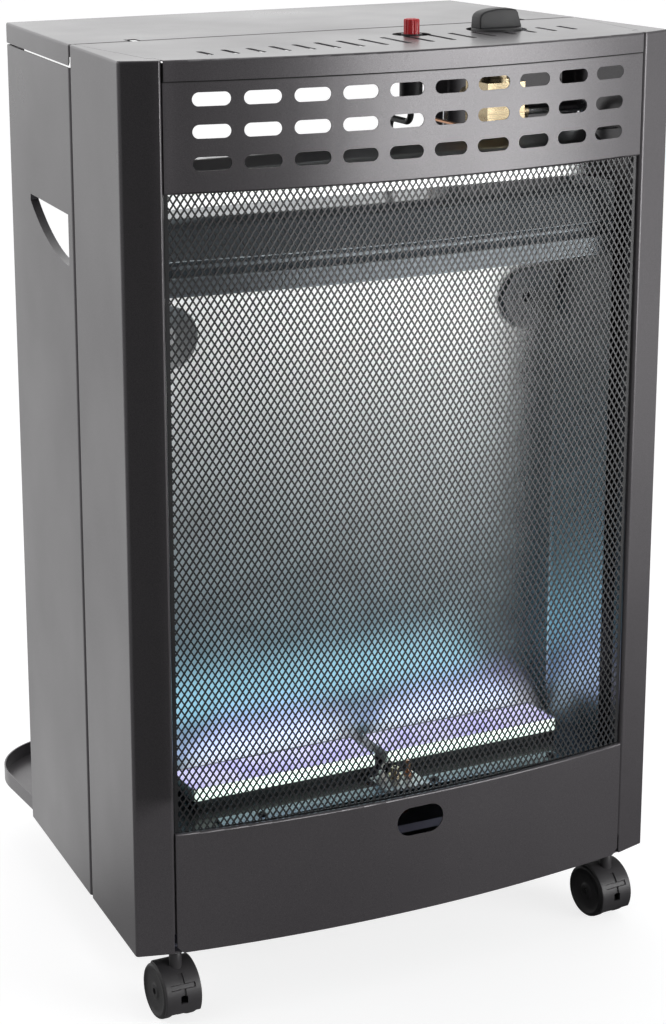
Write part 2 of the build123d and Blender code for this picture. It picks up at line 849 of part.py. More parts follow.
hinge_pins = Part()
for sign in (-1, 1):
    x = sign * flap_hinge_x
    hinge_pins += rod_x(flap_axis_y, flap_axis_z, x - 4.5, x + 4.5, flap_pin)
nodes["flap_hinge_pins"] = hinge_pins

# ---- reflector ----
reflector = folded_sheet(
    [
        (reflector_edge_x, reflector_edge_y),
        (reflector_fold_x, reflector_y),
        (-reflector_fold_x, reflector_y),
        (-reflector_edge_x, reflector_edge_y),
    ],
    Side.RIGHT,
    tray_top,
    bulkhead_top + sheet,
)
for sign in (-1, 1):
    x0 = min(sign * (dish_x - 46), sign * (dish_x + 14))
    reflector += box(
        x0, x0 + 60, reflector_y, bulkhead_y - 1, bulkhead_top, bulkhead_top + sheet
    )
    reflector -= rod_y(sign * dish_x, dish_z, reflector_y - 2, reflector_y + 3, screw)
nodes["reflector"] = reflector

dish_profile = make_face(
    Polyline(
        (screw / 2, 0),
        (9, 0),
        (dish_diameter / 2, dish_height),
        (dish_diameter / 2, dish_height + sheet),
        (9 - 0.3, sheet),
        (screw / 2, sheet),
        close=True,
    )
)
dish = revolve(Plane.XZ * dish_profile, axis=Axis.Z)
dishes = Part()
fire_screws = Part()
for sign in (-1, 1):
    dishes += Pos(sign * dish_x, reflector_y, dish_z) * Rot(90, 0, 0) * dish
    head_y = reflector_y - sheet
    fastener = rod_y(sign * dish_x, dish_z, head_y, reflector_y + 4, screw)
    fastener += rod_y(sign * dish_x, dish_z, head_y - screw_head_height, head_y, screw_head)
    fire_screws += fastener
nodes["reflector_dishes"] = dishes

# ---- visor above the fire and bright hood deflector ----
visor_top_z = bulkhead_top - 1
visor_bottom_z = visor_top_z - visor_height
skirt_z = visor_bottom_z + visor_skirt
groove_z = skirt_z + visor_groove_height
visor = bowed_profile(
    [
        (visor_front_y, visor_bottom_z),
        (visor_front_y, skirt_z),
        (visor_front_y + visor_groove_depth, skirt_z + 0.3 * visor_groove_height),
        (visor_front_y + visor_groove_depth, skirt_z + 0.7 * visor_groove_height),
        (visor_front_y + 0.2 * visor_groove_depth, groove_z),
        (visor_front_y + 0.47 * visor_brow, visor_top_z - visor_shoulder),
        (visor_front_y + 0.88 * visor_brow, visor_top_z),
        (reflector_y + 10, visor_top_z),
    ],
    visor_bow,
    half_opening - visor_gap,
    1.5,
)
mask_low = visor_bottom_z - visor_corner / 3
visor_mask = Rectangle(2 * (half_opening - visor_gap), 2 * (bulkhead_top + 1 - mask_low))
visor_mask = fillet(visor_mask.vertices(), visor_corner)
visor = visor & extrude(Plane.XZ * Pos(0, mask_low) * visor_mask, amount=-reflector_y)
nodes["firebox_visor"] = visor

hood_bottom_z = visor_top_z + hood_gap
hood_flat_z = hood_bottom_z + hood_height
hood_half_width = half_opening + hood_overlap
hood = rolled_profile(
    [
        (hood_front_y, hood_bottom_z),
        (hood_front_y + 1, hood_bottom_z + 0.44 * hood_height),
        ((hood_front_y + hood_flat_front_y) / 2 - 2, hood_bottom_z + 0.8 * hood_height),
        (hood_flat_front_y, hood_flat_z),
        (hood_front_y + hood_depth, hood_flat_z),
    ],
    hood_half_width,
    6,
)
hood_ear = prism(
    [
        (hood_half_width - 6, 70),
        (inner_side_x(70), 70),
        (inner_side_x(86), 86),
        (hood_half_width - 6, 86),
    ],
    hood_flat_z - sheet,
    hood_flat_z,
)
hood += hood_ear
hood += mirrored(hood_ear)
nodes["hood_deflector"] = hood

# ---- burner tray, rail and burners ----
tray_half = half_opening - sheet
tray = box(-tray_half, tray_half, tray_front_y, tray_rear_y, tray_top - sheet, tray_top)
for sign in (-1, 1):
    x0 = min(sign * tray_half, sign * (tray_half - sheet))
    tray += box(x0, x0 + sheet, tray_front_y, tray_rear_y, tray_top - tray_skirt, tray_top)
tray += box(
    -half_opening + 10,
    half_opening - 10,
    tray_front_y,
    tray_front_y + sheet,
    tray_top - 8,
    tray_top,
)
pilot_slot = Pos(pilot_x, pilot_y + 2) * SlotOverall(4 * pilot_spacing, 14)
tray -= Pos(0, 0, tray_top - 2) * extrude(pilot_slot, amount=4)
rail_left_x = rail_left_inset - half_opening
rail_right_x = half_opening - rail_right_inset
rail = box(
    rail_left_x,
    rail_right_x,
    tray_front_y,
    tray_front_y + rail_depth,
    tray_top,
    tray_top + rail_thickness,
)
rail_y = tray_front_y + rail_depth / 2
rail_top = tray_top + rail_thickness
for x in (
    rail_left_x + rail_left_screw,
    pilot_x + rail_middle_screw,
    rail_right_x - rail_right_screw,
):
    hole = rod(x, rail_y, tray_top - 2, rail_top + 1, screw)
    tray -= hole
    rail -= hole
    fastener = rod(x, rail_y, tray_top - 5, rail_top, screw)
    fastener += rod(x, rail_y, rail_top, rail_top + screw_head_height, screw_head)
    fire_screws += fastener
nodes["tray_front_rail"] = rail
nodes["firebox_screws"] = fire_screws

plaques = Part()
mixers = Part()
injectors = Part()
mixer_bore = mixer_diameter - 2 * mixer_wall
manifold_top = manifold_bottom + manifold_size
for side, sign in (("left", -1), ("right", 1)):
    x = sign * burner_x
    housing = Pos(x, burner_y, tray_top + burner_height / 2) * Box(
        burner_length, burner_depth, burner_height
    )
    inner_x = burner_length - 2 * burner_wall
    inner_y = burner_depth - 2 * burner_wall
    housing -= Pos(x, burner_y, tray_top + burner_height / 2 + burner_wall) * Box(
        inner_x, inner_y, burner_height
    )
    feed = rod(x, burner_y, tray_top - 2, tray_top + 2 * burner_wall, mixer_bore)
    housing -= feed
    tray -= feed
    nodes[side + "_burner"] = housing
    plaque_top = tray_top + burner_height - plaque_recess
    plaques += Pos(x, burner_y, plaque_top - plaque_thickness / 2) * Box(
        inner_x, inner_y, plaque_thickness
    )
    mixer = rod(x, burner_y, mixer_bottom, tray_top - sheet, mixer_diameter)
    mixer += rod(x, burner_y, tray_top - sheet - 1.5, tray_top - sheet, mixer_diameter + 10)
    mixer += rod(x, burner_y, mixer_bottom, mixer_bottom + 2, mixer_diameter + 4)
    mixer -= rod(x, burner_y, mixer_bottom - 1, tray_top, mixer_bore)
    mixers += mixer
    injector = rod(x, burner_y, manifold_top, manifold_top + injector_height - 4, injector_diameter)
    injector += Pos(x, burner_y, manifold_top + injector_height - 2) * Cone(
        injector_diameter / 2, 1.5, 4
    )
    injectors += injector
nodes["burner_tray"] = tray
nodes["burner_plaques"] = plaques
nodes["mixer_tubes"] = mixers
nodes["injectors"] = injectors

manifold = box(
    -manifold_half_length,
    manifold_half_length,
    burner_y - manifold_size / 2,
    burner_y + manifold_size / 2,
    manifold_bottom,
    manifold_top,
)
for x in (-50, 50):
    manifold += box(x - 8, x + 8, burner_y - 5, burner_y + 5, plate, manifold_bottom)
    manifold += box(x - 12, x + 12, burner_y - 12, burner_y + 12, plate, 3 * plate)
nodes["gas_manifold"] = manifold

# ---- pilot assembly ----
pilot_base = rail_top
holder = box(
    pilot_x - 1.6 * pilot_spacing,
    pilot_x + 1.6 * pilot_spacing,
    tray_front_y + 1,
    pilot_y + 8,
    pilot_base,
    pilot_base + plate,
)
pilot_flame = rod(pilot_x, pilot_y, tray_top - 1, pilot_base + 10, 7)
pilot_flame += rod(pilot_x, pilot_y, pilot_base + plate, pilot_base + 4, 10)
pilot_flame -= rod(pilot_x, pilot_y, pilot_base + 5, pilot_base + 11, 4)
pilot_flame -= box(
    pilot_x - 1.5, pilot_x + 1.5, pilot_y, pilot_y + 9, pilot_base + 6.5, pilot_base + 9
)
sensor_x = pilot_x + pilot_spacing
spark_x = pilot_x - pilot_spacing
holder -= rod(pilot_x, pilot_y, pilot_base - 1, pilot_base + 3, 7)
holder -= rod(sensor_x, pilot_y, pilot_base - 1, pilot_base + 3, 4)
holder -= rod(spark_x, pilot_y, pilot_base - 1, pilot_base + 3, 5)
nodes["pilot_bracket"] = holder
nodes["pilot_burner"] = pilot_flame

sensor = rod(sensor_x, pilot_y, tray_top - 6, pilot_base + 14, 4)
sensor += rod(sensor_x, pilot_y, pilot_base + plate, pilot_base + 4, 7)
sensor_y = bulkhead_y - 14
sensor += tube(
    [
        (sensor_x, pilot_y, tray_top - 5.5),
        (sensor_x, pilot_y, tray_top - pipe_run),
        (sensor_x, sensor_y, tray_top - pipe_run),
        (valve_left - 20, sensor_y, tray_top - pipe_run),
        (valve_left - 20, sensor_y, valve_bottom + 8),
        (valve_left - 20, knob_y - 8, valve_bottom + 8),
        (valve_left, knob_y - 8, valve_bottom + 8),
    ],
    thermocouple_wire,
    pipe_bend,
)
nodes["thermocouple"] = sensor

electrode = rod(spark_x, pilot_y, tray_top - 4, pilot_base + 9, 5)
electrode += rod(spark_x, pilot_y, pilot_base + plate, pilot_base + 4, 8)
electrode += tube(
    [
        (spark_x, pilot_y, pilot_base + 8.5),
        (spark_x, pilot_y, pilot_base + 15),
        (pilot_x - 2, pilot_y, pilot_base + 15),
    ],
    1.4,
    3,
)
nodes["spark_electrode"] = electrode

pilot_run_y = bulkhead_y - 20
nodes["pilot_tube"] = tube(
    [
        (pilot_x, pilot_y, tray_top - 1),
        (pilot_x, pilot_y, tray_top - pilot_run),
        (pilot_x, pilot_run_y, tray_top - pilot_run),
        (valve_left - 10, pilot_run_y, tray_top - pilot_run),
        (valve_left - 10, pilot_run_y, valve_bottom + 20),
        (valve_left - 10, knob_y + 8, valve_bottom + 20),
        (valve_left, knob_y + 8, valve_bottom + 20),
    ],
    pilot_pipe,
    pipe_bend,
)
nodes["ignition_lead"] = tube(
    [
        (spark_x, pilot_y, tray_top - 4),
        (spark_x, pilot_y, tray_top - ignition_run),
        (spark_x, pilot_run_y, tray_top - ignition_run),
        (igniter_x, pilot_run_y, tray_top - ignition_run),
        (igniter_x, pilot_run_y, igniter_body_bottom - 18),
        (igniter_x, igniter_y, igniter_body_bottom - 18),
        (igniter_x, igniter_y, igniter_body_bottom),
    ],
    ignition_wire,
    pipe_bend - 1,
)

# ---- gas valve ----
bracket_top = bracket_z + plate
bracket = box(
    bracket_left_x, bracket_right_x, bracket_front_y, bracket_rear_y, bracket_z, bracket_top
)
for x0, flange_x0 in (
    (bracket_left_x, bracket_left_x - 8),
    (bracket_right_x - plate, bracket_right_x - plate),
):
    bracket += box(x0, x0 + plate, bracket_front_y, bracket_rear_y, bracket_z, cabinet_height - sheet)
    bracket += box(
        flange_x0,
        flange_x0 + 8 + plate,
        bracket_front_y,
        bracket_rear_y,
        cabinet_height - sheet - plate,
        cabinet_height - sheet,
    )
bracket -= rod(knob_x, knob_y, bracket_z - 1, bracket_top + 1, neck_diameter)
bracket -= rod(igniter_x, igniter_y, bracket_z - 1, bracket_top + 1, neck_diameter)
nodes["control_bracket"] = bracket

body = box(
    valve_left,
    valve_right,
    knob_y - valve_size / 2,
    valve_back,
    valve_bottom,
    valve_top,
)
body -= rod(knob_x, knob_y, plug_bottom - 0.5, valve_top + 1, plug_diameter + 2 * plug_clearance)
body += rod_x(knob_y, outlet_z, valve_right, valve_right + 10, 15)
body -= rod_x(knob_y, outlet_z, knob_x, valve_right + 11, supply_pipe - 2)
body -= rod_x(knob_y, outlet_z, valve_right + 2, valve_right + 11, supply_pipe)
body -= rod_y(knob_x, inlet_z, knob_y, valve_back + 1, 8)
nodes["gas_valve_body"] = body

bonnet = rod(knob_x, knob_y, valve_top, bracket_z, valve_bonnet_diameter)
bonnet += rod(knob_x, knob_y, valve_top, valve_top + 3, valve_size - 2)
bonnet += rod(knob_x, knob_y, valve_top - 4.5, valve_top, plug_diameter)
bonnet += rod(knob_x, knob_y, bracket_z, neck_top, neck_diameter)
bonnet -= rod(
    knob_x, knob_y, valve_top - 6, neck_top + 1, spindle_diameter + 2 * plug_clearance
)
nodes["valve_bonnet"] = bonnet

nipple = rod_y(knob_x, inlet_z, valve_back, valve_back + inlet_length, inlet_thread)
nipple += Pos(knob_x, valve_back, inlet_z) * extrude(
    Plane.XZ * RegularPolygon(10, 6, major_radius=False), amount=-8
)
nipple -= rod_y(knob_x, inlet_z, valve_back - 1, valve_back + inlet_length + 1, 8)
nodes["gas_inlet_nipple"] = nipple


def spindle_shape(grow, z0, z1):
    """Round bar with one flat, grown all round for the sockets that hold it."""
    bar = rod(knob_x, knob_y, z0, z1, spindle_diameter + 2 * grow)
    flat_y = knob_y - spindle_flat - grow
    return bar - box(knob_x - 10, knob_x + 10, flat_y - 10, flat_y, z0 - 1, z1 + 1)


plug = rod(knob_x, knob_y, plug_bottom, plug_top, plug_diameter)
plug -= spindle_shape(plug_clearance, spindle_bottom - knob_travel - 1, plug_top + 1)
round_depth = knob_travel + 0.4
plug -= rod(
    knob_x, knob_y, plug_top - round_depth, plug_top + 1, spindle_diameter + 2 * plug_clearance
)
plug -= rod_x(knob_y, outlet_z, knob_x, knob_x + plug_diameter, 5)
nodes["valve_plug"] = plug

spindle = rod(knob_x, knob_y, plug_top + 0.1, neck_top + 3, spindle_diameter)
spindle += spindle_shape(0, spindle_bottom, plug_top + 0.1)
spindle += spindle_shape(0, neck_top + 3, spindle_top)
nodes["valve_spindle"] = spindle

cavity_top = knob_skirt_top - 1
knob = rod(knob_x, knob_y, knob_skirt_bottom, knob_skirt_top, knob_skirt)
knob_profile = make_face(
    FilletPolyline(
        (-knob_length / 2, knob_skirt_top - 2),
        (knob_length / 2 + 1, knob_skirt_top - 2),
        (knob_length / 2 - 3, knob_top - 2),
        (knob_length / 8, knob_top),
        (-knob_length / 4 - 2, knob_top - 1.5),
        (-knob_length / 2, knob_skirt_top + 3),
        radius=1.5,
        close=True,
    )
)
grip = extrude(Plane.XZ * Pos(knob_x, 0) * knob_profile, amount=knob_depth / 2, both=True)
knob += Pos(0, knob_y, 0) * grip
knob -= rod(knob_x, knob_y, knob_skirt_bottom - 1, cavity_top, neck_diameter + 3)
knob -= spindle_shape(0, neck_top + 3, spindle_top)
nodes["control_knob"] = knob

spring_half = (neck_diameter - 1) / 2
nodes["knob_spring"] = coil(
    knob_x, knob_y, neck_top + 0.1, cavity_top - 0.1, 2 * spring_half, 1.0, 4
)

# ---- igniter ----
igniter = rod(igniter_x, igniter_y, igniter_body_bottom, bracket_z, igniter_body_diameter)
igniter += rod(igniter_x, igniter_y, bracket_z, igniter_neck_top, neck_diameter)
igniter_well = button_bottom - igniter_travel - 8
igniter -= rod(
    igniter_x,
    igniter_y,
    igniter_well,
    igniter_neck_top + 1,
    button_diameter + 2 * button_clearance,
)
nodes["igniter_body"] = igniter
button = rod(igniter_x, igniter_y, button_bottom, button_top, button_diameter)
for number in range(button_flutes):
    turn = 2 * pi * number / button_flutes
    reach = button_diameter / 2 + 0.35
    button -= rod(
        igniter_x + reach * cos(turn),
        igniter_y + reach * sin(turn),
        igniter_neck_top + 0.2,
        button_top + 1,
        1.6,
    )
nodes["igniter_button"] = button
nodes["igniter_spring"] = coil(
    igniter_x, igniter_y, igniter_well + 0.1, button_bottom - 0.1, button_diameter - 2, 1.0, 5
)

nuts = hex_nut(knob_x, knob_y, bracket_top, nut_across_flats, nut_height, neck_diameter)
nuts += hex_nut(igniter_x, igniter_y, bracket_top, nut_across_flats, nut_height, neck_diameter)
nodes["control_nuts"] = nuts

supply_y = knob_y + 26
manifold_axis_z = manifold_bottom + manifold_size / 2
nodes["supply_pipe"] = tube(
    [
        (valve_right + 2, knob_y, outlet_z),
        (half_opening - 8, knob_y, outlet_z),
        (half_opening + supply_bow, supply_y, outlet_z),
        (half_opening + supply_bow, supply_y, manifold_axis_z),
        (half_opening - 14, burner_y, manifold_axis_z),
        (manifold_half_length, burner_y, manifold_axis_z),
    ],
    supply_pipe,
    supply_bend,
)

# ---- casters ----
wheel_radius = wheel_diameter / 2
axle_z = wheel_radius - caster_drop
fender_inner = wheel_radius + fender_gap
fender_outer = fender_inner + fender_thickness
caster_half = wheel_spacing / 2 + wheel_width
collar_top = -3.0
kingpin_bottom = axle_z + axle_diameter / 2 + 5


def caster_hood():
    """Web between the wheels with a fender over them; kingpin axis on the origin."""
    shell = Circle(fender_outer) - Circle(fender_inner)
    cover = make_face(
        Polyline((0, 0), (-44, -26), (-44, 60), (14, 60), close=True)
    )
    shell = extrude(Plane.YZ * (shell & cover), amount=caster_half, both=True)
    web = Circle(fender_inner + 0.6) - Pos(30, -12) * Rectangle(40, 50)
    web -= Pos(0, -fender_inner) * Rectangle(60, 2 * fender_inner - wheel_diameter + 16)
    web = extrude(Plane.YZ * web, amount=web_width / 2, both=True)
    hood = Pos(0, caster_trail, axle_z) * (shell + web)
    hood += rod(0, 0, axle_z + 6, collar_top, kingpin_diameter + 8)
    hood -= rod_x(caster_trail, axle_z, web_width / 2, caster_half + 5, 2 * fender_inner)
    hood -= rod_x(caster_trail, axle_z, -caster_half - 5, -web_width / 2, 2 * fender_inner)
    hood -= rod(0, 0, kingpin_bottom - 0.1, collar_top + 1, kingpin_diameter + 2 * kingpin_clearance)
    hood -= rod_x(caster_trail, axle_z, -30, 30, axle_diameter + 2 * axle_clearance)
    return hood


def caster_wheels():
    """Two wheels, one on each side of the web."""
    pair = Part()
    for sign in (-1, 1):
        inner = sign * wheel_spacing / 2
        outer = sign * caster_half
        x0, x1 = min(inner, outer), max(inner, outer)
        wheel = rod_x(caster_trail, axle_z, x0, x1, wheel_diameter)
        dish_x0 = outer - 2 if sign > 0 else outer - 1
        wheel -= rod_x(caster_trail, axle_z, dish_x0, dish_x0 + 3, wheel_diameter - 9)
        hub_x0 = x0 if sign > 0 else x0 + 1
        wheel += rod_x(caster_trail, axle_z, hub_x0, hub_x0 + wheel_width - 1, 12)
        wheel -= rod_x(caster_trail, axle_z, -25, 25, axle_diameter)
        pair += wheel
    return pair


def kingpin(underside):
    """Kingpin riveted flush into a base plate whose underside is at the given height."""
    pin = rod(0, 0, kingpin_bottom, underside + plate, kingpin_diameter)
    pin += rod(0, 0, collar_top + 1, underside, kingpin_diameter + 10)
    return pin


caster_axle = rod_x(caster_trail, axle_z, -caster_half + 3, caster_half - 3, axle_diameter)
caster_places = {
    "front_left": (-front_caster_x, front_caster_y, 0, 0.0),
    "front_right": (front_caster_x, front_caster_y, front_right_turn, 0.0),
    "rear_left": (-rear_caster_x, rear_caster_y, 0, plate),
    "rear_right": (rear_caster_x, rear_caster_y, 0, plate),
}
kingpins = Part()
for corner, (x, y, turn, underside) in caster_places.items():
    spot = Pos(x, y, 0) * Rot(0, 0, turn)
    nodes["caster_hood_" + corner] = spot * caster_hood()
    nodes["caster_axle_" + corner] = spot * caster_axle
    nodes["caster_wheels_" + corner] = spot * caster_wheels()
    kingpins += Pos(x, y, 0) * kingpin(underside)
nodes["caster_kingpins"] = kingpins

os.makedirs("parts", exist_ok=True)
for name, shape in nodes.items():
    export_step(Pos(0, shift_y, shift_z) * shape, "parts/" + name + ".step")
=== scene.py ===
import json
import math

import bmesh
import bpy
from mathutils import Matrix, Vector

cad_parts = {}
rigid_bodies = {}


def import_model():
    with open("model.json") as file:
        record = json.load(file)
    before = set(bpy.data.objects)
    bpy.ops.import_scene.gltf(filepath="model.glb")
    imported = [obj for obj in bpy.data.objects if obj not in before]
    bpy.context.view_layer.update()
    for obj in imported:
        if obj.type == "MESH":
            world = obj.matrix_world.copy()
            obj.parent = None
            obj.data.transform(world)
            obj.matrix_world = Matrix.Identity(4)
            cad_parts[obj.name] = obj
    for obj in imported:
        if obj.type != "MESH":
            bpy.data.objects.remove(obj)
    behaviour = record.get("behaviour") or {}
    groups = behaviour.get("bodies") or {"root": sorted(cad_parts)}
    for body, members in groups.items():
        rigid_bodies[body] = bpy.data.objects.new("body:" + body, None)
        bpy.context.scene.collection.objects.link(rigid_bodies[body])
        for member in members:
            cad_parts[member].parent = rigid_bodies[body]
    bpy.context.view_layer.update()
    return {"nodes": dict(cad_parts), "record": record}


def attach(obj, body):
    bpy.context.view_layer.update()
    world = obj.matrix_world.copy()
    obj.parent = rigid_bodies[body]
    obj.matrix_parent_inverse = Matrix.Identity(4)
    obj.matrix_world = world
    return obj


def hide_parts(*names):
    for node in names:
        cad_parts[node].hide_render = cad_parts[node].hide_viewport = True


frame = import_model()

# Measures are in millimetres from the centre line, the columns' front plane and the cabinet's
# underside; at() turns them into the frame's metres.
SHIFT_Y = -208.0
SHIFT_Z = 61.0
CABINET_HEIGHT = 690.0
OPENING_HALF = 204.0
REFLECTOR_Y = 98.0
TRAY_TOP = 94.0
BURNER_TOP = 113.5
BURNER_FRONT = 44.0
BURNER_DEPTH = 45.0
BURNER_LENGTH = 164.5
BURNER_GAP = 9.0
PORT_PITCH = 2.9
PORT_MOUTH = 0.75
PORT_THROAT = 0.55
PORT_DEPTH = 1.8
RAIL_Y = 13.0
RAIL_TOP = 96.0
RAIL_SCREW_X = (-124.0, 32.0, 143.0)
DISH_X = 163.0
DISH_Z = 467.0
PANEL_SCREW_X = 216.9
PANEL_SCREW_SEAT_Y = 124.2
PANEL_SCREW_Z = (70.0, 303.0, 536.0)
KNOB_X = 115.0
KNOB_Y = 74.0
IGNITER_X = 37.5
IGNITER_Y = 72.0
AXLE_Z = -38.5
AXLE_REACH = 25.1
CASTER_TRAIL = 8.0
CASTER_PLACES = {
    "front_left": (-201.0, 12.0, 0.0),
    "front_right": (201.0, 12.0, 5.0),
    "rear_left": (-140.0, 322.0, 0.0),
    "rear_right": (140.0, 322.0, 0.0),
}
BURNER_X = BURNER_GAP / 2 + BURNER_LENGTH / 2
BURNERS = (("left", -BURNER_X), ("right", BURNER_X))

# Light levels of the studio, and the glow of the burning gas: the fire lamps, the flame glow of the
# plaques and the painted reflection of the flames on the reflector.
FLOOR_COLOUR = (0.36, 0.36, 0.365)
FLOOR_LIFT = 0.78
FLOOR_REAR = 0.72
FLOOR_LEFT = 0.28
FLOOR_FRONT = 0.10
FLOOR_LOBE = 0.9
WORLD_REAR = 1.15
WORLD_LEFT = 0.42
WORLD_RIGHT = 0.35
WORLD_FRONT = 0.2
FIRE_POWER = 0.034
BASE_POWER = 0.01
FLAME_GLOW = 0.85
FLAME_HEIGHT = 58.0
FLAME_SHIFT = 12.0
PLAQUE_GLOW = 0.8
FIRE_TEAL = (0.45, 0.8, 0.95)
FIRE_PALE = (0.75, 1.0, 0.92)
CORNERS = ("front_left", "front_right", "rear_left", "rear_right")

def at(x, y, z):
    """A point of the cabinet as a vector in the frame."""
    return Vector((x, y + SHIFT_Y, z + SHIFT_Z)) / 1000


# ---------------------------------------------------------------- materials

def new_group(name, inputs, outputs):
    """Empty shader group with float or colour sockets, and its input and output nodes."""
    group = bpy.data.node_groups.new(name, "ShaderNodeTree")
    for label, kind, default in inputs:
        socket = group.interface.new_socket(label, in_out="INPUT", socket_type=kind)
        if default is not None:
            socket.default_value = default
    for label, kind in outputs:
        group.interface.new_socket(label, in_out="OUTPUT", socket_type=kind)
    return group, group.nodes.new("NodeGroupInput"), group.nodes.new("NodeGroupOutput")


def powder_group():
    """Fine metallic speck and slow unevenness of a stoved satin coating."""
    group, source, sink = new_group(
        "satin_powder",
        [("Speck Scale", "NodeSocketFloat", 2600.0), ("Cloud Scale", "NodeSocketFloat", 7.0)],
        [("Speck", "NodeSocketFloat"), ("Cloud", "NodeSocketFloat"), ("Height", "NodeSocketFloat")],
    )
    tree = group.nodes
    place = tree.new("ShaderNodeTexCoord")
    speck = tree.new("ShaderNodeTexNoise")
    speck.inputs["Detail"].default_value = 1.0
    cloud = tree.new("ShaderNodeTexNoise")
    cloud.inputs["Detail"].default_value = 3.0
    peel = tree.new("ShaderNodeTexNoise")
    peel.inputs["Scale"].default_value = 900.0
    peel.inputs["Detail"].default_value = 2.0
    for noise in (speck, cloud, peel):
        group.links.new(place.outputs["Object"], noise.inputs["Vector"])
    group.links.new(source.outputs["Speck Scale"], speck.inputs["Scale"])
    group.links.new(source.outputs["Cloud Scale"], cloud.inputs["Scale"])
    group.links.new(speck.outputs["Fac"], sink.inputs["Speck"])
    group.links.new(cloud.outputs["Fac"], sink.inputs["Cloud"])
    group.links.new(peel.outputs["Fac"], sink.inputs["Height"])
    return group


def brushed_group():
    """Drawn grain of sheet metal along one direction."""
    group, source, sink = new_group(
        "drawn_grain",
        [
            ("Along", "NodeSocketVector", (4.0, 900.0, 900.0)),
            ("Fine", "NodeSocketFloat", 1.0),
        ],
        [("Grain", "NodeSocketFloat"), ("Cloud", "NodeSocketFloat")],
    )
    tree = group.nodes
    place = tree.new("ShaderNodeTexCoord")
    stretch = tree.new("ShaderNodeVectorMath")
    stretch.operation = "MULTIPLY"
    grain = tree.new("ShaderNodeTexNoise")
    grain.inputs["Detail"].default_value = 4.0
    cloud = tree.new("ShaderNodeTexNoise")
    cloud.inputs["Scale"].default_value = 9.0
    group.links.new(place.outputs["Object"], stretch.inputs[0])
    group.links.new(source.outputs["Along"], stretch.inputs[1])
    group.links.new(stretch.outputs["Vector"], grain.inputs["Vector"])
    group.links.new(source.outputs["Fine"], grain.inputs["Scale"])
    group.links.new(place.outputs["Object"], cloud.inputs["Vector"])
    group.links.new(grain.outputs["Fac"], sink.inputs["Grain"])
    group.links.new(cloud.outputs["Fac"], sink.inputs["Cloud"])
    return group


POWDER = powder_group()
BRUSHED = brushed_group()


class Nodes:
    """Short calls for building a node tree."""

    def __init__(self, tree):
        self.tree = tree

    def node(self, kind, **settings):
        made = self.tree.nodes.new(kind)
        for label, value in settings.items():
            setattr(made, label, value)
        return made

    def link(self, output, socket):
        self.tree.links.new(output, socket)

    def math(self, operation, *values):
        """The result of an operation on numbers and sockets."""
        made = self.node("ShaderNodeMath", operation=operation)
        for index, value in enumerate(values):
            if isinstance(value, (int, float)):
                made.inputs[index].default_value = value
            else:
                self.link(value, made.inputs[index])
        return made.outputs[0]

    def total(self, *values):
        result = values[0]
        for value in values[1:]:
            result = self.math("ADD", result, value)
        return result

    def remap(self, value, from_min, from_max, to_min=0.0, to_max=1.0, **settings):
        """The value carried from one range to another and held at its ends."""
        made = self.node("ShaderNodeMapRange", **settings)
        limits = (from_min, from_max, to_min, to_max)
        for label, number in zip(("From Min", "From Max", "To Min", "To Max"), limits):
            made.inputs[label].default_value = number
        self.link(value, made.inputs["Value"])
        return made.outputs["Result"]

    def ease(self, value, start, end, high=1.0):
        """Smooth rise from 0 at start to high at end."""
        return self.remap(value, start, end, 0.0, high, interpolation_type="SMOOTHSTEP")

    def mix(self, mask, low, high):
        """Two colours, each a value or a socket, mixed by a mask."""
        made = self.node("ShaderNodeMix", data_type="RGBA")
        for socket, colour in ((made.inputs[6], low), (made.inputs[7], high)):
            if isinstance(colour, tuple):
                socket.default_value = (*colour, 1)
            else:
                self.link(colour, socket)
        self.link(mask, made.inputs[0])
        return made.outputs[2]

    def place(self):
        """Object coordinates, whole and split into X, Y and Z."""
        whole = self.node("ShaderNodeTexCoord").outputs["Object"]
        split = self.node("ShaderNodeSeparateXYZ")
        self.link(whole, split.inputs[0])
        return whole, split.outputs


class Finish(Nodes):
    """A material built round one Principled BSDF."""

    def __init__(self, material, **sockets):
        super().__init__(material.node_tree)
        self.material = material
        self.shader = self.tree.nodes["Principled BSDF"]
        for label, value in sockets.items():
            self.shader.inputs[label.replace("_", " ")].default_value = value

    def group(self, group, **values):
        made = self.node("ShaderNodeGroup", node_tree=group)
        for label, value in values.items():
            made.inputs[label.replace("_", " ")].default_value = value
        return made

    def feed(self, output, label):
        """Link an output to the shader's socket of that name."""
        self.link(output, self.shader.inputs[label])

    def bump(self, height, strength, distance=0.0002):
        made = self.node("ShaderNodeBump")
        made.inputs["Strength"].default_value = strength
        made.inputs["Distance"].default_value = distance
        self.link(height, made.inputs["Height"])
        self.feed(made.outputs["Normal"], "Normal")


def new_material(name):
    material = bpy.data.materials.new(name)
    material.use_nodes = True
    return material


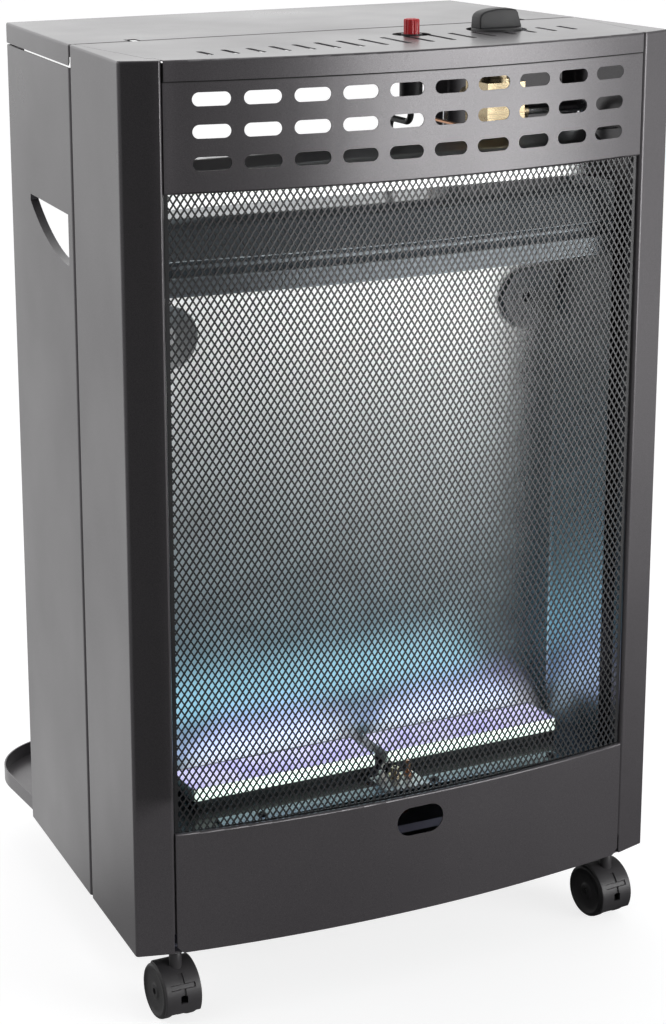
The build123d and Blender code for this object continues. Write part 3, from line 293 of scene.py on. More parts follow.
def flame_mirror(material):
    """Painted reflection of the flames over the two burners: an emission glow on the polished steel
    behind them, in the shape of the flames.
    """
    finish = Finish(material, Emission_Strength=FLAME_GLOW)
    whole, axes = finish.place()
    x = finish.math("SUBTRACT", axes["X"], FLAME_SHIFT / 1000)
    above = finish.math("SUBTRACT", axes["Z"], at(0, 0, BURNER_TOP - 8).z)
    height = finish.math("DIVIDE", above, FLAME_HEIGHT / 1000)
    off_centre = finish.math("SUBTRACT", finish.math("ABSOLUTE", x), BURNER_X / 1000)
    along = finish.math("DIVIDE", finish.math("ABSOLUTE", off_centre), BURNER_LENGTH / 2000)
    dome = finish.math("MULTIPLY", finish.math("POWER", along, 4.0), 0.75)
    curls = finish.node("ShaderNodeTexNoise")
    curls.inputs["Scale"].default_value = 30.0
    curls.inputs["Detail"].default_value = 2.0
    finish.link(whole, curls.inputs["Vector"])
    ragged = finish.total(height, dome, finish.math("MULTIPLY", curls.outputs["Fac"], 0.3))
    body = finish.ease(ragged, 1.25, 0.2)
    near = finish.ease(axes["Y"], at(0, REFLECTOR_Y - 20, 0).y, at(0, REFLECTOR_Y - 6, 0).y)
    inside = finish.ease(along, 1.12, 0.95)
    tint = finish.mix(finish.ease(height, 0.1, 0.9), (0.86, 0.86, 1.0), (0.5, 0.45, 1.0))
    shown = finish.math("MULTIPLY", finish.math("MULTIPLY", body, near), inside)
    finish.feed(finish.mix(shown, (0.0, 0.0, 0.0), tint), "Emission Color")
    return material


def plaque_fire(name):
    """Ceramic under a skin of flame, bluer and whiter in slow patches."""
    finish = Finish(new_material(name), Emission_Strength=PLAQUE_GLOW, Roughness=0.7)
    powder = finish.group(POWDER, Speck_Scale=900.0, Cloud_Scale=30.0)
    ceramic = finish.mix(powder.outputs["Speck"], (0.55, 0.53, 0.6), (0.66, 0.64, 0.72))
    finish.feed(ceramic, "Base Color")
    patches = finish.remap(powder.outputs["Cloud"], 0.3, 0.7)
    finish.feed(finish.mix(patches, (0.5, 0.46, 0.95), (0.78, 0.76, 1.0)), "Emission Color")
    return finish.material


def satin_paint(name, dark, light, metallic=0.3, roughness=(0.27, 0.38), coat=0.3):
    finish = Finish(new_material(name), Metallic=metallic, Coat_Weight=coat, Coat_Roughness=0.22)
    powder = finish.group(POWDER, Speck_Scale=2600.0)
    flecks = finish.remap(powder.outputs["Speck"], 0.35, 0.7)
    finish.feed(finish.mix(flecks, dark, light), "Base Color")
    finish.feed(finish.remap(powder.outputs["Cloud"], 0.3, 0.7, *roughness), "Roughness")
    finish.bump(powder.outputs["Height"], 0.12)
    return finish.material


def shade_under_lip(material, edge):
    """Painted shadow line where the lid's lip ends over the grille: a near-black band, rougher and
    without coat or metallic sheen.
    """
    finish = Finish(material)
    _, axes = finish.place()
    band = finish.remap(axes["Z"], edge - 0.0016, edge - 0.0006)
    paint, satin = (
        finish.shader.inputs[label].links[0].from_socket for label in ("Base Color", "Roughness")
    )
    finish.feed(finish.mix(band, paint, (0.004, 0.004, 0.004)), "Base Color")
    finish.feed(finish.math("MAXIMUM", satin, band), "Roughness")
    sheen = finish.remap(band, 0.0, 1.0, 0.3, 0.0)
    finish.feed(sheen, "Coat Weight")
    finish.feed(sheen, "Metallic")
    return material


def drawn_steel(name, dark, light, roughness=(0.2, 0.35), along=(4.0, 900.0, 900.0), metallic=1.0):
    finish = Finish(new_material(name), Metallic=metallic)
    grain = finish.group(BRUSHED, Along=along)
    finish.feed(finish.mix(finish.remap(grain.outputs["Cloud"], 0.3, 0.7), dark, light), "Base Color")
    finish.feed(finish.remap(grain.outputs["Grain"], 0.3, 0.7, *roughness), "Roughness")
    finish.bump(grain.outputs["Grain"], 0.1)
    return finish.material


def steel_with_painted_glow(name):
    """Sheet steel whose grey turns to a painted teal-blue lower down, towards the fire: the painted
    glow of the flames in its base colour.
    """
    finish = Finish(new_material(name), Metallic=1.0)
    grain = finish.group(BRUSHED, Along=(30.0, 60.0, 60.0))
    _, axes = finish.place()
    drift = finish.math("MULTIPLY_ADD", grain.outputs["Cloud"], 0.05, axes["Z"])
    # Painted glow of the flames: teal-blue low down, fading to grey higher up.
    glow_fade = finish.remap(drift, 0.175, 0.525)
    finish.feed(finish.mix(glow_fade, (0.42, 0.58, 0.65), (0.86, 0.87, 0.87)), "Base Color")
    finish.feed(finish.remap(grain.outputs["Grain"], 0.3, 0.7, 0.3, 0.38), "Roughness")
    finish.bump(grain.outputs["Grain"], 0.1)
    return finish.material


def moulded_plastic(name, dark, light, roughness=(0.4, 0.55)):
    finish = Finish(new_material(name), Specular_IOR_Level=0.4)
    powder = finish.group(POWDER, Speck_Scale=1500.0, Cloud_Scale=20.0)
    finish.feed(finish.mix(finish.remap(powder.outputs["Cloud"], 0.3, 0.7), dark, light), "Base Color")
    finish.feed(finish.remap(powder.outputs["Speck"], 0.3, 0.7, *roughness), "Roughness")
    finish.bump(powder.outputs["Speck"], 0.15)
    return finish.material


def burner_finish():
    """Housing steel: clean at the rim, with painted flame light glowing on the rim's front, and
    painted shade as near-black base colour on the wall below.
    """
    finish = Finish(new_material("burner_rim"), Metallic=0.7, Emission_Strength=1.25)
    grain = finish.group(BRUSHED, Along=(40.0, 40.0, 200.0))
    _, axes = finish.place()
    edge = at(0, 0, TRAY_TOP + 9.2).z
    rim = finish.remap(axes["Z"], edge - 0.0008, edge + 0.0008)
    # Painted shade: near-black steel below the rim, light steel above it.
    finish.feed(finish.mix(rim, (0.012, 0.012, 0.014), (0.6, 0.62, 0.6)), "Base Color")
    face = at(0, BURNER_FRONT + 0.6, 0).y
    front = finish.remap(axes["Y"], face, face + 0.0005, 1.0, 0.0)
    # Painted flame light: an emission on the front face above the rim's edge.
    lit = finish.mix(finish.math("MULTIPLY", rim, front), (0.0, 0.0, 0.0), (0.72, 0.86, 0.78))
    finish.feed(lit, "Emission Color")
    finish.feed(finish.remap(grain.outputs["Grain"], 0.3, 0.7, 0.3, 0.45), "Roughness")
    return finish.material


CABINET_GREY = ((0.066, 0.061, 0.066), (0.112, 0.105, 0.112))
EVEN_GRAIN = (120.0, 120.0, 120.0)

materials = {
    "cabinet_paint": satin_paint("cabinet_paint", *CABINET_GREY),
    "guard_black": satin_paint(
        "guard_black", (0.009, 0.009, 0.01), (0.026, 0.026, 0.028), 0.1, (0.34, 0.46), coat=0.1
    ),
    "visor_paint": satin_paint(
        "visor_paint", (0.2, 0.228, 0.25), (0.28, 0.32, 0.348), 0.5, (0.26, 0.34)
    ),
    "galvanised_steel": drawn_steel(
        "galvanised_steel", (0.42, 0.43, 0.45), (0.6, 0.61, 0.63), (0.35, 0.5), EVEN_GRAIN
    ),
    # Reflector steel with a painted teal glow of the flames in its base colour, bluer and darker lower
    # down.
    "reflector_steel": steel_with_painted_glow("reflector_steel"),
    "bright_steel": drawn_steel("bright_steel", (0.62, 0.63, 0.65), (0.78, 0.79, 0.8), (0.15, 0.3)),
    "dark_screws": drawn_steel("dark_screws", (0.04, 0.04, 0.045), (0.1, 0.1, 0.11), (0.3, 0.45)),
    "burner_steel": drawn_steel("burner_steel", (0.5, 0.5, 0.55), (0.7, 0.7, 0.76), (0.3, 0.45)),
    "ceramic_plaque": plaque_fire("ceramic_plaque"),
    "ceramic_white": moulded_plastic(
        "ceramic_white", (0.7, 0.69, 0.65), (0.8, 0.79, 0.75), (0.2, 0.3)
    ),
    "brass": drawn_steel("brass", (0.38, 0.3, 0.18), (0.52, 0.44, 0.3)),
    "copper_lead": drawn_steel("copper_lead", (0.5, 0.26, 0.15), (0.65, 0.36, 0.22), (0.25, 0.4)),
    "black_plastic": moulded_plastic("black_plastic", (0.022, 0.022, 0.023), (0.04, 0.04, 0.042)),
    "red_plastic": moulded_plastic(
        "red_plastic", (0.42, 0.008, 0.012), (0.55, 0.012, 0.02), (0.2, 0.32)
    ),
    "lead_sleeve": moulded_plastic("lead_sleeve", (0.02, 0.02, 0.02), (0.045, 0.045, 0.045)),
    "spring_steel": drawn_steel("spring_steel", (0.5, 0.5, 0.52), (0.66, 0.66, 0.68)),
    "caster_steel": drawn_steel("caster_steel", (0.4, 0.4, 0.42), (0.55, 0.55, 0.57)),
    "caster_plastic": moulded_plastic(
        "caster_plastic", (0.03, 0.029, 0.031), (0.055, 0.052, 0.055), (0.35, 0.5)
    ),
    "caster_wheel": moulded_plastic("caster_wheel", (0.02, 0.02, 0.021), (0.04, 0.038, 0.04)),
}

slot_of = {entry["node"]: entry["material_slot"] for entry in frame["record"]["subparts"]}


def coat(obj, material):
    obj.data.materials.clear()
    obj.data.materials.append(material)


for node, obj in frame["nodes"].items():
    coat(obj, materials[slot_of[node]])

# Nodes whose finish differs from the rest of their slot.
lip_edge = at(0, 0, CABINET_HEIGHT - 15.0).z
own_finishes = {
    # Grille paint with a painted shadow line under the lid's lip.
    "upper_front_grille": shade_under_lip(satin_paint("grille_paint", *CABINET_GREY), lip_edge),
    "burner_tray": satin_paint(
        "tray_black", (0.008, 0.008, 0.009), (0.02, 0.02, 0.022), 0.2, (0.45, 0.6)
    ),
    "tray_front_rail": drawn_steel(
        "rail_blue", (0.08, 0.11, 0.14), (0.14, 0.18, 0.22), (0.22, 0.34)
    ),
    # Reflector wall: painted teal glow of the flames in its base colour, and a painted reflection of
    # the flames as emission.
    "reflector": flame_mirror(steel_with_painted_glow("fire_wall")),
    "reflector_dishes": drawn_steel(
        "dish_steel", (0.5, 0.51, 0.52), (0.62, 0.63, 0.64), (0.42, 0.52), (200.0, 200.0, 200.0), 0.55
    ),
}
for node, material in own_finishes.items():
    coat(frame["nodes"][node], material)


# ---------------------------------------------------------------- mesh tools

def add_object(name, data):
    """A new object at the origin, linked into the scene."""
    obj = bpy.data.objects.new(name, data)
    bpy.context.scene.collection.objects.link(obj)
    return obj


def piece(name, mesh, body, node, material=None):
    """A finished mesh as an object that rides a body and stands for a solid."""
    obj = add_object(name, mesh)
    slot = slot_of[node]
    coat(obj, material or materials[slot])
    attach(obj, body)
    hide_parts(node)
    return obj


def mesh_from(build, name):
    """A mesh made by a function that fills a bmesh."""
    shape = bmesh.new()
    build(shape)
    bmesh.ops.recalc_face_normals(shape, faces=shape.faces)
    mesh = bpy.data.meshes.new(name)
    shape.to_mesh(mesh)
    shape.free()
    return mesh


def bridge(shape, one, other):
    """Quads between two closed rings of as many points."""
    for index in range(len(one)):
        after = (index + 1) % len(one)
        shape.faces.new((one[index], one[after], other[after], other[index]))


def evaluated_mesh(obj, name):
    """The object's mesh with its modifiers applied; the object itself is removed."""
    bpy.context.view_layer.update()
    graph = bpy.context.evaluated_depsgraph_get()
    mesh = bpy.data.meshes.new_from_object(obj.evaluated_get(graph))
    mesh.name = name
    bpy.data.objects.remove(obj)
    return mesh


# ---------------------------------------------------------------- expanded metal guard

GUARD_BOTTOM = 97.0
GUARD_TOP = 600.0
GUARD_HALF = 203.2
GUARD_BOW = 15.0
GUARD_SET_BACK = 4.0
MESH_WIDTH = 5.4
MESH_HEIGHT = 8.4
STRAND = 1.1
STRAND_DEPTH = 0.9


def mesh_link():
    """Four half strands that meet at one bond of the expanded metal."""
    def build(shape):
        reach = Vector((MESH_WIDTH / 4, 0, MESH_HEIGHT / 4)) / 1000
        half = STRAND / 2000
        depth = STRAND_DEPTH / 2000
        for sign_x in (-1, 1):
            for sign_z in (-1, 1):
                tip = Vector((reach.x * sign_x, 0, reach.z * sign_z))
                along = tip.normalized()
                side = Vector((along.z, 0, -along.x)) * half
                lean = 0.35 * depth * sign_z
                rings = []
                for point, shift in ((Vector((0, 0, 0)), 0.0), (tip, lean)):
                    ring = []
                    for across, back in ((-1, -1), (1, -1), (1, 1), (-1, 1)):
                        corner = point + side * across
                        corner.y = back * depth + shift
                        ring.append(shape.verts.new(corner))
                    rings.append(ring)
                bridge(shape, *rings)
    return add_object("mesh_link", mesh_from(build, "mesh_link"))


class Tree(Nodes):
    """A Geometry Nodes tree with named inputs that ends in realised, painted geometry."""

    def __init__(self, name, inputs):
        super().__init__(bpy.data.node_groups.new(name, "GeometryNodeTree"))
        face = self.tree.interface
        face.new_socket("Geometry", in_out="INPUT", socket_type="NodeSocketGeometry")
        self.ids = {}
        for label, kind in inputs:
            made = face.new_socket(label, in_out="INPUT", socket_type=kind)
            self.ids[label] = made.identifier
        made = face.new_socket("Finish", in_out="INPUT", socket_type="NodeSocketMaterial")
        self.ids["Finish"] = made.identifier
        face.new_socket("Geometry", in_out="OUTPUT", socket_type="NodeSocketGeometry")
        self.source = self.tree.nodes.new("NodeGroupInput")
        self.sink = self.tree.nodes.new("NodeGroupOutput")

    def thing(self, label):
        """The geometry of the object given as an input."""
        info = self.node("GeometryNodeObjectInfo")
        self.link(self.source.outputs[label], info.inputs["Object"])
        return info.outputs["Geometry"]

    def vector(self, **axes):
        made = self.node("ShaderNodeCombineXYZ")
        for axis, value in axes.items():
            self.link(value, made.inputs[axis])
        return made.outputs["Vector"]

    def line(self, count, step, start=None):
        """A row of points a step apart."""
        made = self.node("GeometryNodeMeshLine", mode="OFFSET")
        self.link(count, made.inputs["Count"])
        self.link(step, made.inputs["Offset"])
        if start is not None:
            self.link(start, made.inputs["Start Location"])
        return made.outputs["Mesh"]

    def copies(self, points, item, turn=None):
        """The item set on each point."""
        made = self.node("GeometryNodeInstanceOnPoints")
        self.link(points, made.inputs["Points"])
        self.link(item, made.inputs["Instance"])
        if turn is not None:
            self.link(turn, made.inputs["Rotation"])
        return made.outputs["Instances"]

    def real(self, geometry):
        made = self.node("GeometryNodeRealizeInstances")
        self.link(geometry, made.inputs["Geometry"])
        return made.outputs["Geometry"]

    def finish(self, geometry):
        paint = self.node("GeometryNodeSetMaterial")
        self.link(self.real(geometry), paint.inputs["Geometry"])
        self.link(self.source.outputs["Finish"], paint.inputs["Material"])
        self.link(paint.outputs["Geometry"], self.sink.inputs["Geometry"])

    def run(self, name, values, material):
        """The tree's result for these inputs, as a plain mesh."""
        host = add_object(name + "_host", bpy.data.meshes.new(name + "_host"))
        modifier = host.modifiers.new("build", "NODES")
        modifier.node_group = self.tree
        for label, value in values.items():
            modifier[self.ids[label]] = value
        modifier[self.ids["Finish"]] = material
        return evaluated_mesh(host, name)


def expanded_metal_tree():
    """Rows of links on a lattice, bent to the guard's bow."""
    made = Tree(
        "expanded_metal",
        [
            ("Link", "NodeSocketObject"),
            ("Pitch X", "NodeSocketFloat"),
            ("Pitch Z", "NodeSocketFloat"),
            ("Columns", "NodeSocketInt"),
            ("Rows", "NodeSocketInt"),
            ("Left", "NodeSocketFloat"),
            ("Bottom", "NodeSocketFloat"),
            ("Front", "NodeSocketFloat"),
            ("Radius", "NodeSocketFloat"),
        ],
    )
    ins = made.source.outputs
    link = made.thing("Link")
    join = made.node("GeometryNodeJoinGeometry")
    for offset in (0.0, 0.5):
        start = made.vector(
            X=made.math("ADD", ins["Left"], made.math("MULTIPLY", ins["Pitch X"], offset)),
            Z=made.math("ADD", ins["Bottom"], made.math("MULTIPLY", ins["Pitch Z"], offset)),
        )
        row = made.line(ins["Columns"], made.vector(X=ins["Pitch X"]), start)
        column = made.line(ins["Rows"], made.vector(Z=ins["Pitch Z"]))
        lattice = made.real(made.copies(row, column))
        made.link(made.copies(lattice, link), join.inputs["Geometry"])
    flat = made.real(join.outputs["Geometry"])
    spot = made.node("GeometryNodeInputPosition")
    parts = made.node("ShaderNodeSeparateXYZ")
    made.link(spot.outputs["Position"], parts.inputs["Vector"])
    x, y, z = (parts.outputs[axis] for axis in "XYZ")
    radius_square = made.math("MULTIPLY", ins["Radius"], ins["Radius"])
    square = made.math("MULTIPLY", x, x)
    chord = made.math("SQRT", made.math("SUBTRACT", radius_square, square))
    back = made.math("SUBTRACT", made.math("ADD", ins["Front"], ins["Radius"]), chord)
    bent = made.vector(X=x, Y=made.math("ADD", y, back), Z=z)
    bend = made.node("GeometryNodeSetPosition")
    made.link(flat, bend.inputs["Geometry"])
    made.link(bent, bend.inputs["Position"])
    made.finish(bend.outputs["Geometry"])
    return made


def build_guard():
    link = mesh_link()
    tree = expanded_metal_tree()
    border = 3.0
    inner_half = GUARD_HALF - border
    radius = (GUARD_HALF**2 + GUARD_BOW**2) / (2 * GUARD_BOW)
    front = at(0, GUARD_SET_BACK - GUARD_BOW + 0.5, 0).y
    columns = int(2 * inner_half / MESH_WIDTH)
    rows = int((GUARD_TOP - GUARD_BOTTOM - 2 * border) / MESH_HEIGHT)
    pitch_x = 2 * inner_half / columns
    pitch_z = (GUARD_TOP - GUARD_BOTTOM - 2 * border) / rows
    left_columns = columns // 2
    for name, first, count in (
        ("guard_mesh_left", 0, left_columns),
        ("guard_mesh_right", left_columns, columns - left_columns),
    ):
        mesh = tree.run(
            name,
            {
                "Link": link,
                "Pitch X": pitch_x / 1000,
                "Pitch Z": pitch_z / 1000,
                "Columns": count,
                "Rows": rows,
                "Left": (-inner_half + (first + 0.25) * pitch_x) / 1000,
                "Bottom": at(0, 0, GUARD_BOTTOM + border + 0.25 * pitch_z).z,
                "Front": front,
                "Radius": radius / 1000,
            },
            materials["guard_black"],
        )
        piece(name, mesh, "cabinet", "front_guard")
    bpy.data.objects.remove(link)

    def frame_strips(shape):
        """Plain edge of the guard: two uprights and two bowed rails."""
        def bar(x0, x1, z0, z1, steps):
            rings = []
            for index in range(steps + 1):
                x = x0 + (x1 - x0) * index / steps
                y = GUARD_SET_BACK - GUARD_BOW + radius - math.sqrt(radius**2 - x**2)
                rings.append(
                    [
                        shape.verts.new(at(x, y + back, z))
                        for back, z in ((0, z0), (0, z1), (1.0, z1), (1.0, z0))
                    ]
                )
            for first, second in zip(rings, rings[1:]):
                bridge(shape, first, second)
            shape.faces.new(rings[0])
            shape.faces.new(rings[-1][::-1])
        bar(-GUARD_HALF, -inner_half, GUARD_BOTTOM, GUARD_TOP, 1)
        bar(inner_half, GUARD_HALF, GUARD_BOTTOM, GUARD_TOP, 1)
        bar(-inner_half, inner_half, GUARD_BOTTOM, GUARD_BOTTOM + border, 40)
        bar(-inner_half, inner_half, GUARD_TOP - border, GUARD_TOP, 40)

    piece("guard_edge", mesh_from(frame_strips, "guard_edge"), "cabinet", "front_guard")


build_guard()

# ---------------------------------------------------------------- shaped pieces

def bevelled(mesh, width, segments=3, angle=30.0):
    """The mesh with its edges rounded, smooth but for edges that stay sharp."""
    rough = add_object(mesh.name + "_rough", mesh)
    bevel = rough.modifiers.new("ease", "BEVEL")
    bevel.width = width / 1000
    bevel.segments = segments
    bevel.limit_method = "ANGLE"
    bevel.angle_limit = math.radians(angle)
    return smoothed(evaluated_mesh(rough, mesh.name))


def smoothed(mesh, angle=38.0):
    mesh.shade_smooth()
    mesh.set_sharp_from_angle(angle=math.radians(angle))
    return mesh


def lathe(shape, profile, put, segments):
    """Solid of revolution; put(radius, height, turn) gives the place of each profile point."""
    rings = []
    for index in range(segments):
        turn = 2 * math.pi * index / segments
        rings.append([shape.verts.new(put(radius, height, turn)) for radius, height in profile])
    spans = [(low, (low + 1) % len(profile)) for low in range(len(profile))]
    for index in range(segments):
        ring, following = rings[index], rings[(index + 1) % segments]
        for low, high in spans:
            shape.faces.new((ring[low], following[low], following[high], ring[high]))


def slab(shape, outline, put, near, far):
    """Prism of an outline between two depths; put(u, v, depth) gives the place of a corner."""
    front = [shape.verts.new(put(u, v, near)) for u, v in outline]
    rear = [shape.verts.new(put(u, v, far)) for u, v in outline]
    shape.faces.new(front)
    shape.faces.new(rear[::-1])
    bridge(shape, rear, front)


def build_knob():
    """Grip with an arched back and steep right end on a round skirt."""
    def skirt(shape):
        def put(radius, height, turn):
            return at(KNOB_X + radius * math.cos(turn), KNOB_Y + radius * math.sin(turn), height)

        low, high = CABINET_HEIGHT - 6.0, CABINET_HEIGHT + 2.0
        lathe(
            shape,
            [
                (9.6, low), (19.0, low), (19.8, low + 0.6), (20.0, low + 1.4), (20.0, high - 1.6),
                (19.6, high - 0.5), (18.6, high), (16.6, high), (15.8, high - 0.5),
                (15.0, high - 0.1), (3.0, high), (3.0, high - 1.0), (9.6, high - 1.0),
            ],
            put,
            64,
        )

    def grip(shape):
        base, top = CABINET_HEIGHT + 1.2, CABINET_HEIGHT + 16.5
        spine = [
            (-19.3, 0.0), (-18.9, 9.0), (-17.8, 11.6), (-15.4, 13.5), (-11.0, 14.8), (-4.0, 15.8),
            (4.0, 16.0), (10.5, 15.5), (14.2, 14.6), (15.8, 12.6), (19.2, 0.0),
        ]
        rows = []
        for across in (-1, 1):
            row = []
            for x, rise in spine:
                half = 7.4 - 1.3 * (rise / 16.0) ** 1.5
                lift = base + rise * (top - base) / 16.0
                row.append(shape.verts.new(at(KNOB_X + x, KNOB_Y + across * half, lift)))
            rows.append(row)
        low, high = rows
        shape.faces.new(low)
        shape.faces.new(high[::-1])
        bridge(shape, high, low)

    skirt_mesh = smoothed(mesh_from(skirt, "knob_skirt"))
    grip_mesh = bevelled(mesh_from(grip, "knob_grip"), 1.3, 4, 42.0)
    piece("knob_skirt", skirt_mesh, "knob", "control_knob")
    piece("knob_grip", grip_mesh, "knob", "control_knob")


def build_button():
    """Ribbed push button with a softened crown."""
    def body(shape):
        levels = [
            (0.0, 0.0), (5.9, 0.0), (6.25, 0.5), (6.25, 16.0), (6.2, 18.0), (6.2, 28.7),
            (5.9, 29.5), (5.2, 29.95), (4.2, 30.0), (3.4, 29.6), (0.0, 29.5),
        ]
        bottom = CABINET_HEIGHT + 12.0 - 30.0
        rings = []
        for index in range(84):
            turn = 2 * math.pi * index / 84
            flute = 0.62 * (0.5 + 0.5 * math.cos(14 * turn)) ** 1.5
            ring = []
            for radius, height in levels[1:-1]:
                cut = flute if 18.0 <= height <= 29.6 else 0.0
                r = radius - cut
                ring.append(
                    shape.verts.new(
                        at(
                            IGNITER_X + r * math.cos(turn),
                            IGNITER_Y + r * math.sin(turn),
                            bottom + height,
                        )
                    )
                )
            rings.append(ring)
        for index in range(84):
            ring, following = rings[index], rings[(index + 1) % 84]
            for low in range(len(ring) - 1):
                shape.faces.new((ring[low], following[low], following[low + 1], ring[low + 1]))
        shape.faces.new([ring[0] for ring in rings][::-1])
        shape.faces.new([ring[-1] for ring in rings])

    mesh = smoothed(mesh_from(body, "button_ribbed"), 50)
    piece("button_ribbed", mesh, "igniter_button", "igniter_button")


def caster_put(corner):
    """Turns (x, y, z) round a caster's kingpin into a place in the frame."""
    x0, y0, turn = CASTER_PLACES[corner]
    turn = math.radians(turn)

    def put(x, y, z):
        return at(
            x0 + x * math.cos(turn) - y * math.sin(turn),
            y0 + x * math.sin(turn) + y * math.cos(turn),
            z,
        )

    return put


def hood_recess(across, along):
    """Depth of the moulded cross in the front of a caster hood, in millimetres."""
    if abs(across) < 10.5 and abs(along - 1.0) < 1.8:
        return 1.1
    if abs(across) < 2.0 and -8.0 < along < 12.0:
        return 1.3
    return 0.0


def in_window(across, along):
    """Whether a spot lies in the square opening below the cross."""
    return abs(across) < 3.2 and -13.0 < along < -6.5


def build_caster_hood(corner):
    put = caster_put(corner)

    def fender(shape):
        start, end = math.radians(77), math.radians(211)
        steps_along = 120
        widths = [-15.5 + 0.5 * number for number in range(63)]
        middle = math.radians(157)
        grid = []
        for number in range(steps_along + 1):
            turn = start + (end - start) * number / steps_along
            along = -(turn - middle) * AXLE_REACH
            from_end = min(turn - start, end - turn) * AXLE_REACH
            row = []
            for x in widths:
                radius = AXLE_REACH - hood_recess(x, along)
                for gap in (15.5 - abs(x), from_end):
                    if gap < 1.2:
                        radius -= 1.2 - math.sqrt(max(1.44 - (1.2 - gap) ** 2, 0))
                row.append((x, radius, turn))
            grid.append(row)

        def corner_at(x, radius, turn):
            return put(
                x,
                CASTER_TRAIL + radius * math.cos(turn),
                AXLE_Z + radius * math.sin(turn),
            )

        outer = [[shape.verts.new(corner_at(*spot)) for spot in row] for row in grid]
        inner = [
            [shape.verts.new(corner_at(x, 23.5, turn)) for x, _, turn in row] for row in grid
        ]

        def open_cell(number, index):
            if not (0 <= number < steps_along and 0 <= index < len(widths) - 1):
                return False
            turn = start + (end - start) * (number + 0.5) / steps_along
            return in_window(widths[index] + 0.25, -(turn - middle) * AXLE_REACH)

        for number in range(steps_along):
            for index in range(len(widths) - 1):
                if open_cell(number, index):
                    continue
                for skin in (outer, inner):
                    shape.faces.new(
                        (
                            skin[number][index],
                            skin[number][index + 1],
                            skin[number + 1][index + 1],
                            skin[number + 1][index],
                        )
                    )
                sides = (
                    ((number, index), (number, index + 1), number - 1, index),
                    ((number + 1, index), (number + 1, index + 1), number + 1, index),
                    ((number, index), (number + 1, index), number, index - 1),
                    ((number, index + 1), (number + 1, index + 1), number, index + 1),
                )
                for one, other, beyond, across in sides:
                    outside = not (0 <= beyond < steps_along and 0 <= across < len(widths) - 1)
                    if outside or open_cell(beyond, across):
                        shape.faces.new(
                            (
                                outer[one[0]][one[1]],
                                outer[other[0]][other[1]],
                                inner[other[0]][other[1]],
                                inner[one[0]][one[1]],
                            )
                        )

    def web(shape):
        outline = []
        for degrees in range(40, 218, 4):
            turn = math.radians(degrees)
            reach = 15.0 if 162 < degrees < 192 else 23.9
            outline.append((reach * math.cos(turn), max(reach * math.sin(turn), -14.5)))
        outline += [(9.5, -14.5), (10.0, -13.0), (10.0, 13.0)]
        slab(
            shape,
            outline,
            lambda y, z, x: put(x, CASTER_TRAIL + y, AXLE_Z + z),
            -4.5,
            4.5,
        )

    def neck(shape):
        lathe(
            shape,
            [(3.2, -3.0), (4.6, -3.0), (5.0, -3.6), (5.0, -13.0), (5.0, -30.0), (3.2, -30.0)],
            lambda radius, z, turn: put(radius * math.cos(turn), radius * math.sin(turn), z),
            40,
        )

    node = "caster_hood_" + corner
    body = "swivel_" + corner
    piece("hood_shell_" + corner, smoothed(mesh_from(fender, "hood_shell"), 30), body, node)
    piece("hood_web_" + corner, bevelled(mesh_from(web, "hood_web"), 0.6, 2, 50), body, node)
    piece("hood_neck_" + corner, smoothed(mesh_from(neck, "hood_neck")), body, node)


def build_wheels(corner):
    put = caster_put(corner)

    def pair(shape):
        profile = [
            (2.6, 6.2), (6.0, 6.2), (6.0, 5.6), (19.5, 5.6), (21.3, 6.0), (22.2, 7.0), (22.5, 8.2),
            (22.5, 12.4), (22.2, 13.7), (21.3, 14.8), (19.8, 15.4), (18.8, 15.3), (18.2, 14.6),
            (14.0, 14.1), (8.0, 13.9), (6.4, 14.2), (5.8, 14.7), (4.8, 14.9), (2.6, 14.9),
        ]
        for sign in (-1, 1):
            lathe(
                shape,
                profile,
                lambda radius, x, turn: put(
                    sign * x,
                    CASTER_TRAIL + radius * math.cos(turn),
                    AXLE_Z + radius * math.sin(turn),
                ),
                72,
            )

    piece(
        "wheel_pair_" + corner,
        smoothed(mesh_from(pair, "wheel_pair"), 45),
        "wheels_" + corner,
        "caster_wheels_" + corner,
    )


def screw_head():
    """Domed head with a cross recess and its shank, pointing along +Z from the seat."""
    def build(shape):
        rings = []
        segments = 40
        for radius in (0.0, 0.35, 0.7, 1.05, 1.4, 1.75, 2.1, 2.5, 3.0, 3.5, 3.85, 4.0):
            if radius == 0.0:
                rings.append([shape.verts.new((0, 0, 0.0008))])
                continue
            ring = []
            for index in range(segments):
                turn = 2 * math.pi * (index + 0.5) / segments
                x, y = radius * math.cos(turn), radius * math.sin(turn)
                height = 2.2 - 1.3 * (radius / 4.0) ** 2.4
                if (abs(x) < 0.55 or abs(y) < 0.55) and radius < 2.2:
                    height -= 1.3 * (1 - radius / 2.6)
                ring.append(shape.verts.new((x / 1000, y / 1000, height / 1000)))
            rings.append(ring)
        for radius, height in ((4.0, 0.3), (3.8, 0.0), (2.0, 0.0), (2.0, -4.0)):
            rings.append(
                [
                    shape.verts.new(
                        (
                            radius * math.cos(2 * math.pi * (index + 0.5) / segments) / 1000,
                            radius * math.sin(2 * math.pi * (index + 0.5) / segments) / 1000,
                            height / 1000,
                        )
                    )
                    for index in range(segments)
                ]
            )
        centre = rings[0][0]
        for index in range(segments):
            shape.faces.new((centre, rings[1][index], rings[1][(index + 1) % segments]))
        for ring, following in zip(rings[1:], rings[2:]):
            for index in range(segments):
                after = (index + 1) % segments
                shape.faces.new((ring[index], following[index], following[after], ring[after]))
        shape.faces.new(rings[-1])

    return add_object("screw_head", smoothed(mesh_from(build, "screw_head"), 30))


def scatter_tree():
    """Copies of an object on given points, turned the same way."""
    made = Tree(
        "set_out",
        [
            ("Points", "NodeSocketObject"),
            ("Item", "NodeSocketObject"),
            ("Turn", "NodeSocketRotation"),
        ],
    )
    turn = made.source.outputs["Turn"]
    made.finish(made.copies(made.thing("Points"), made.thing("Item"), turn))
    return made


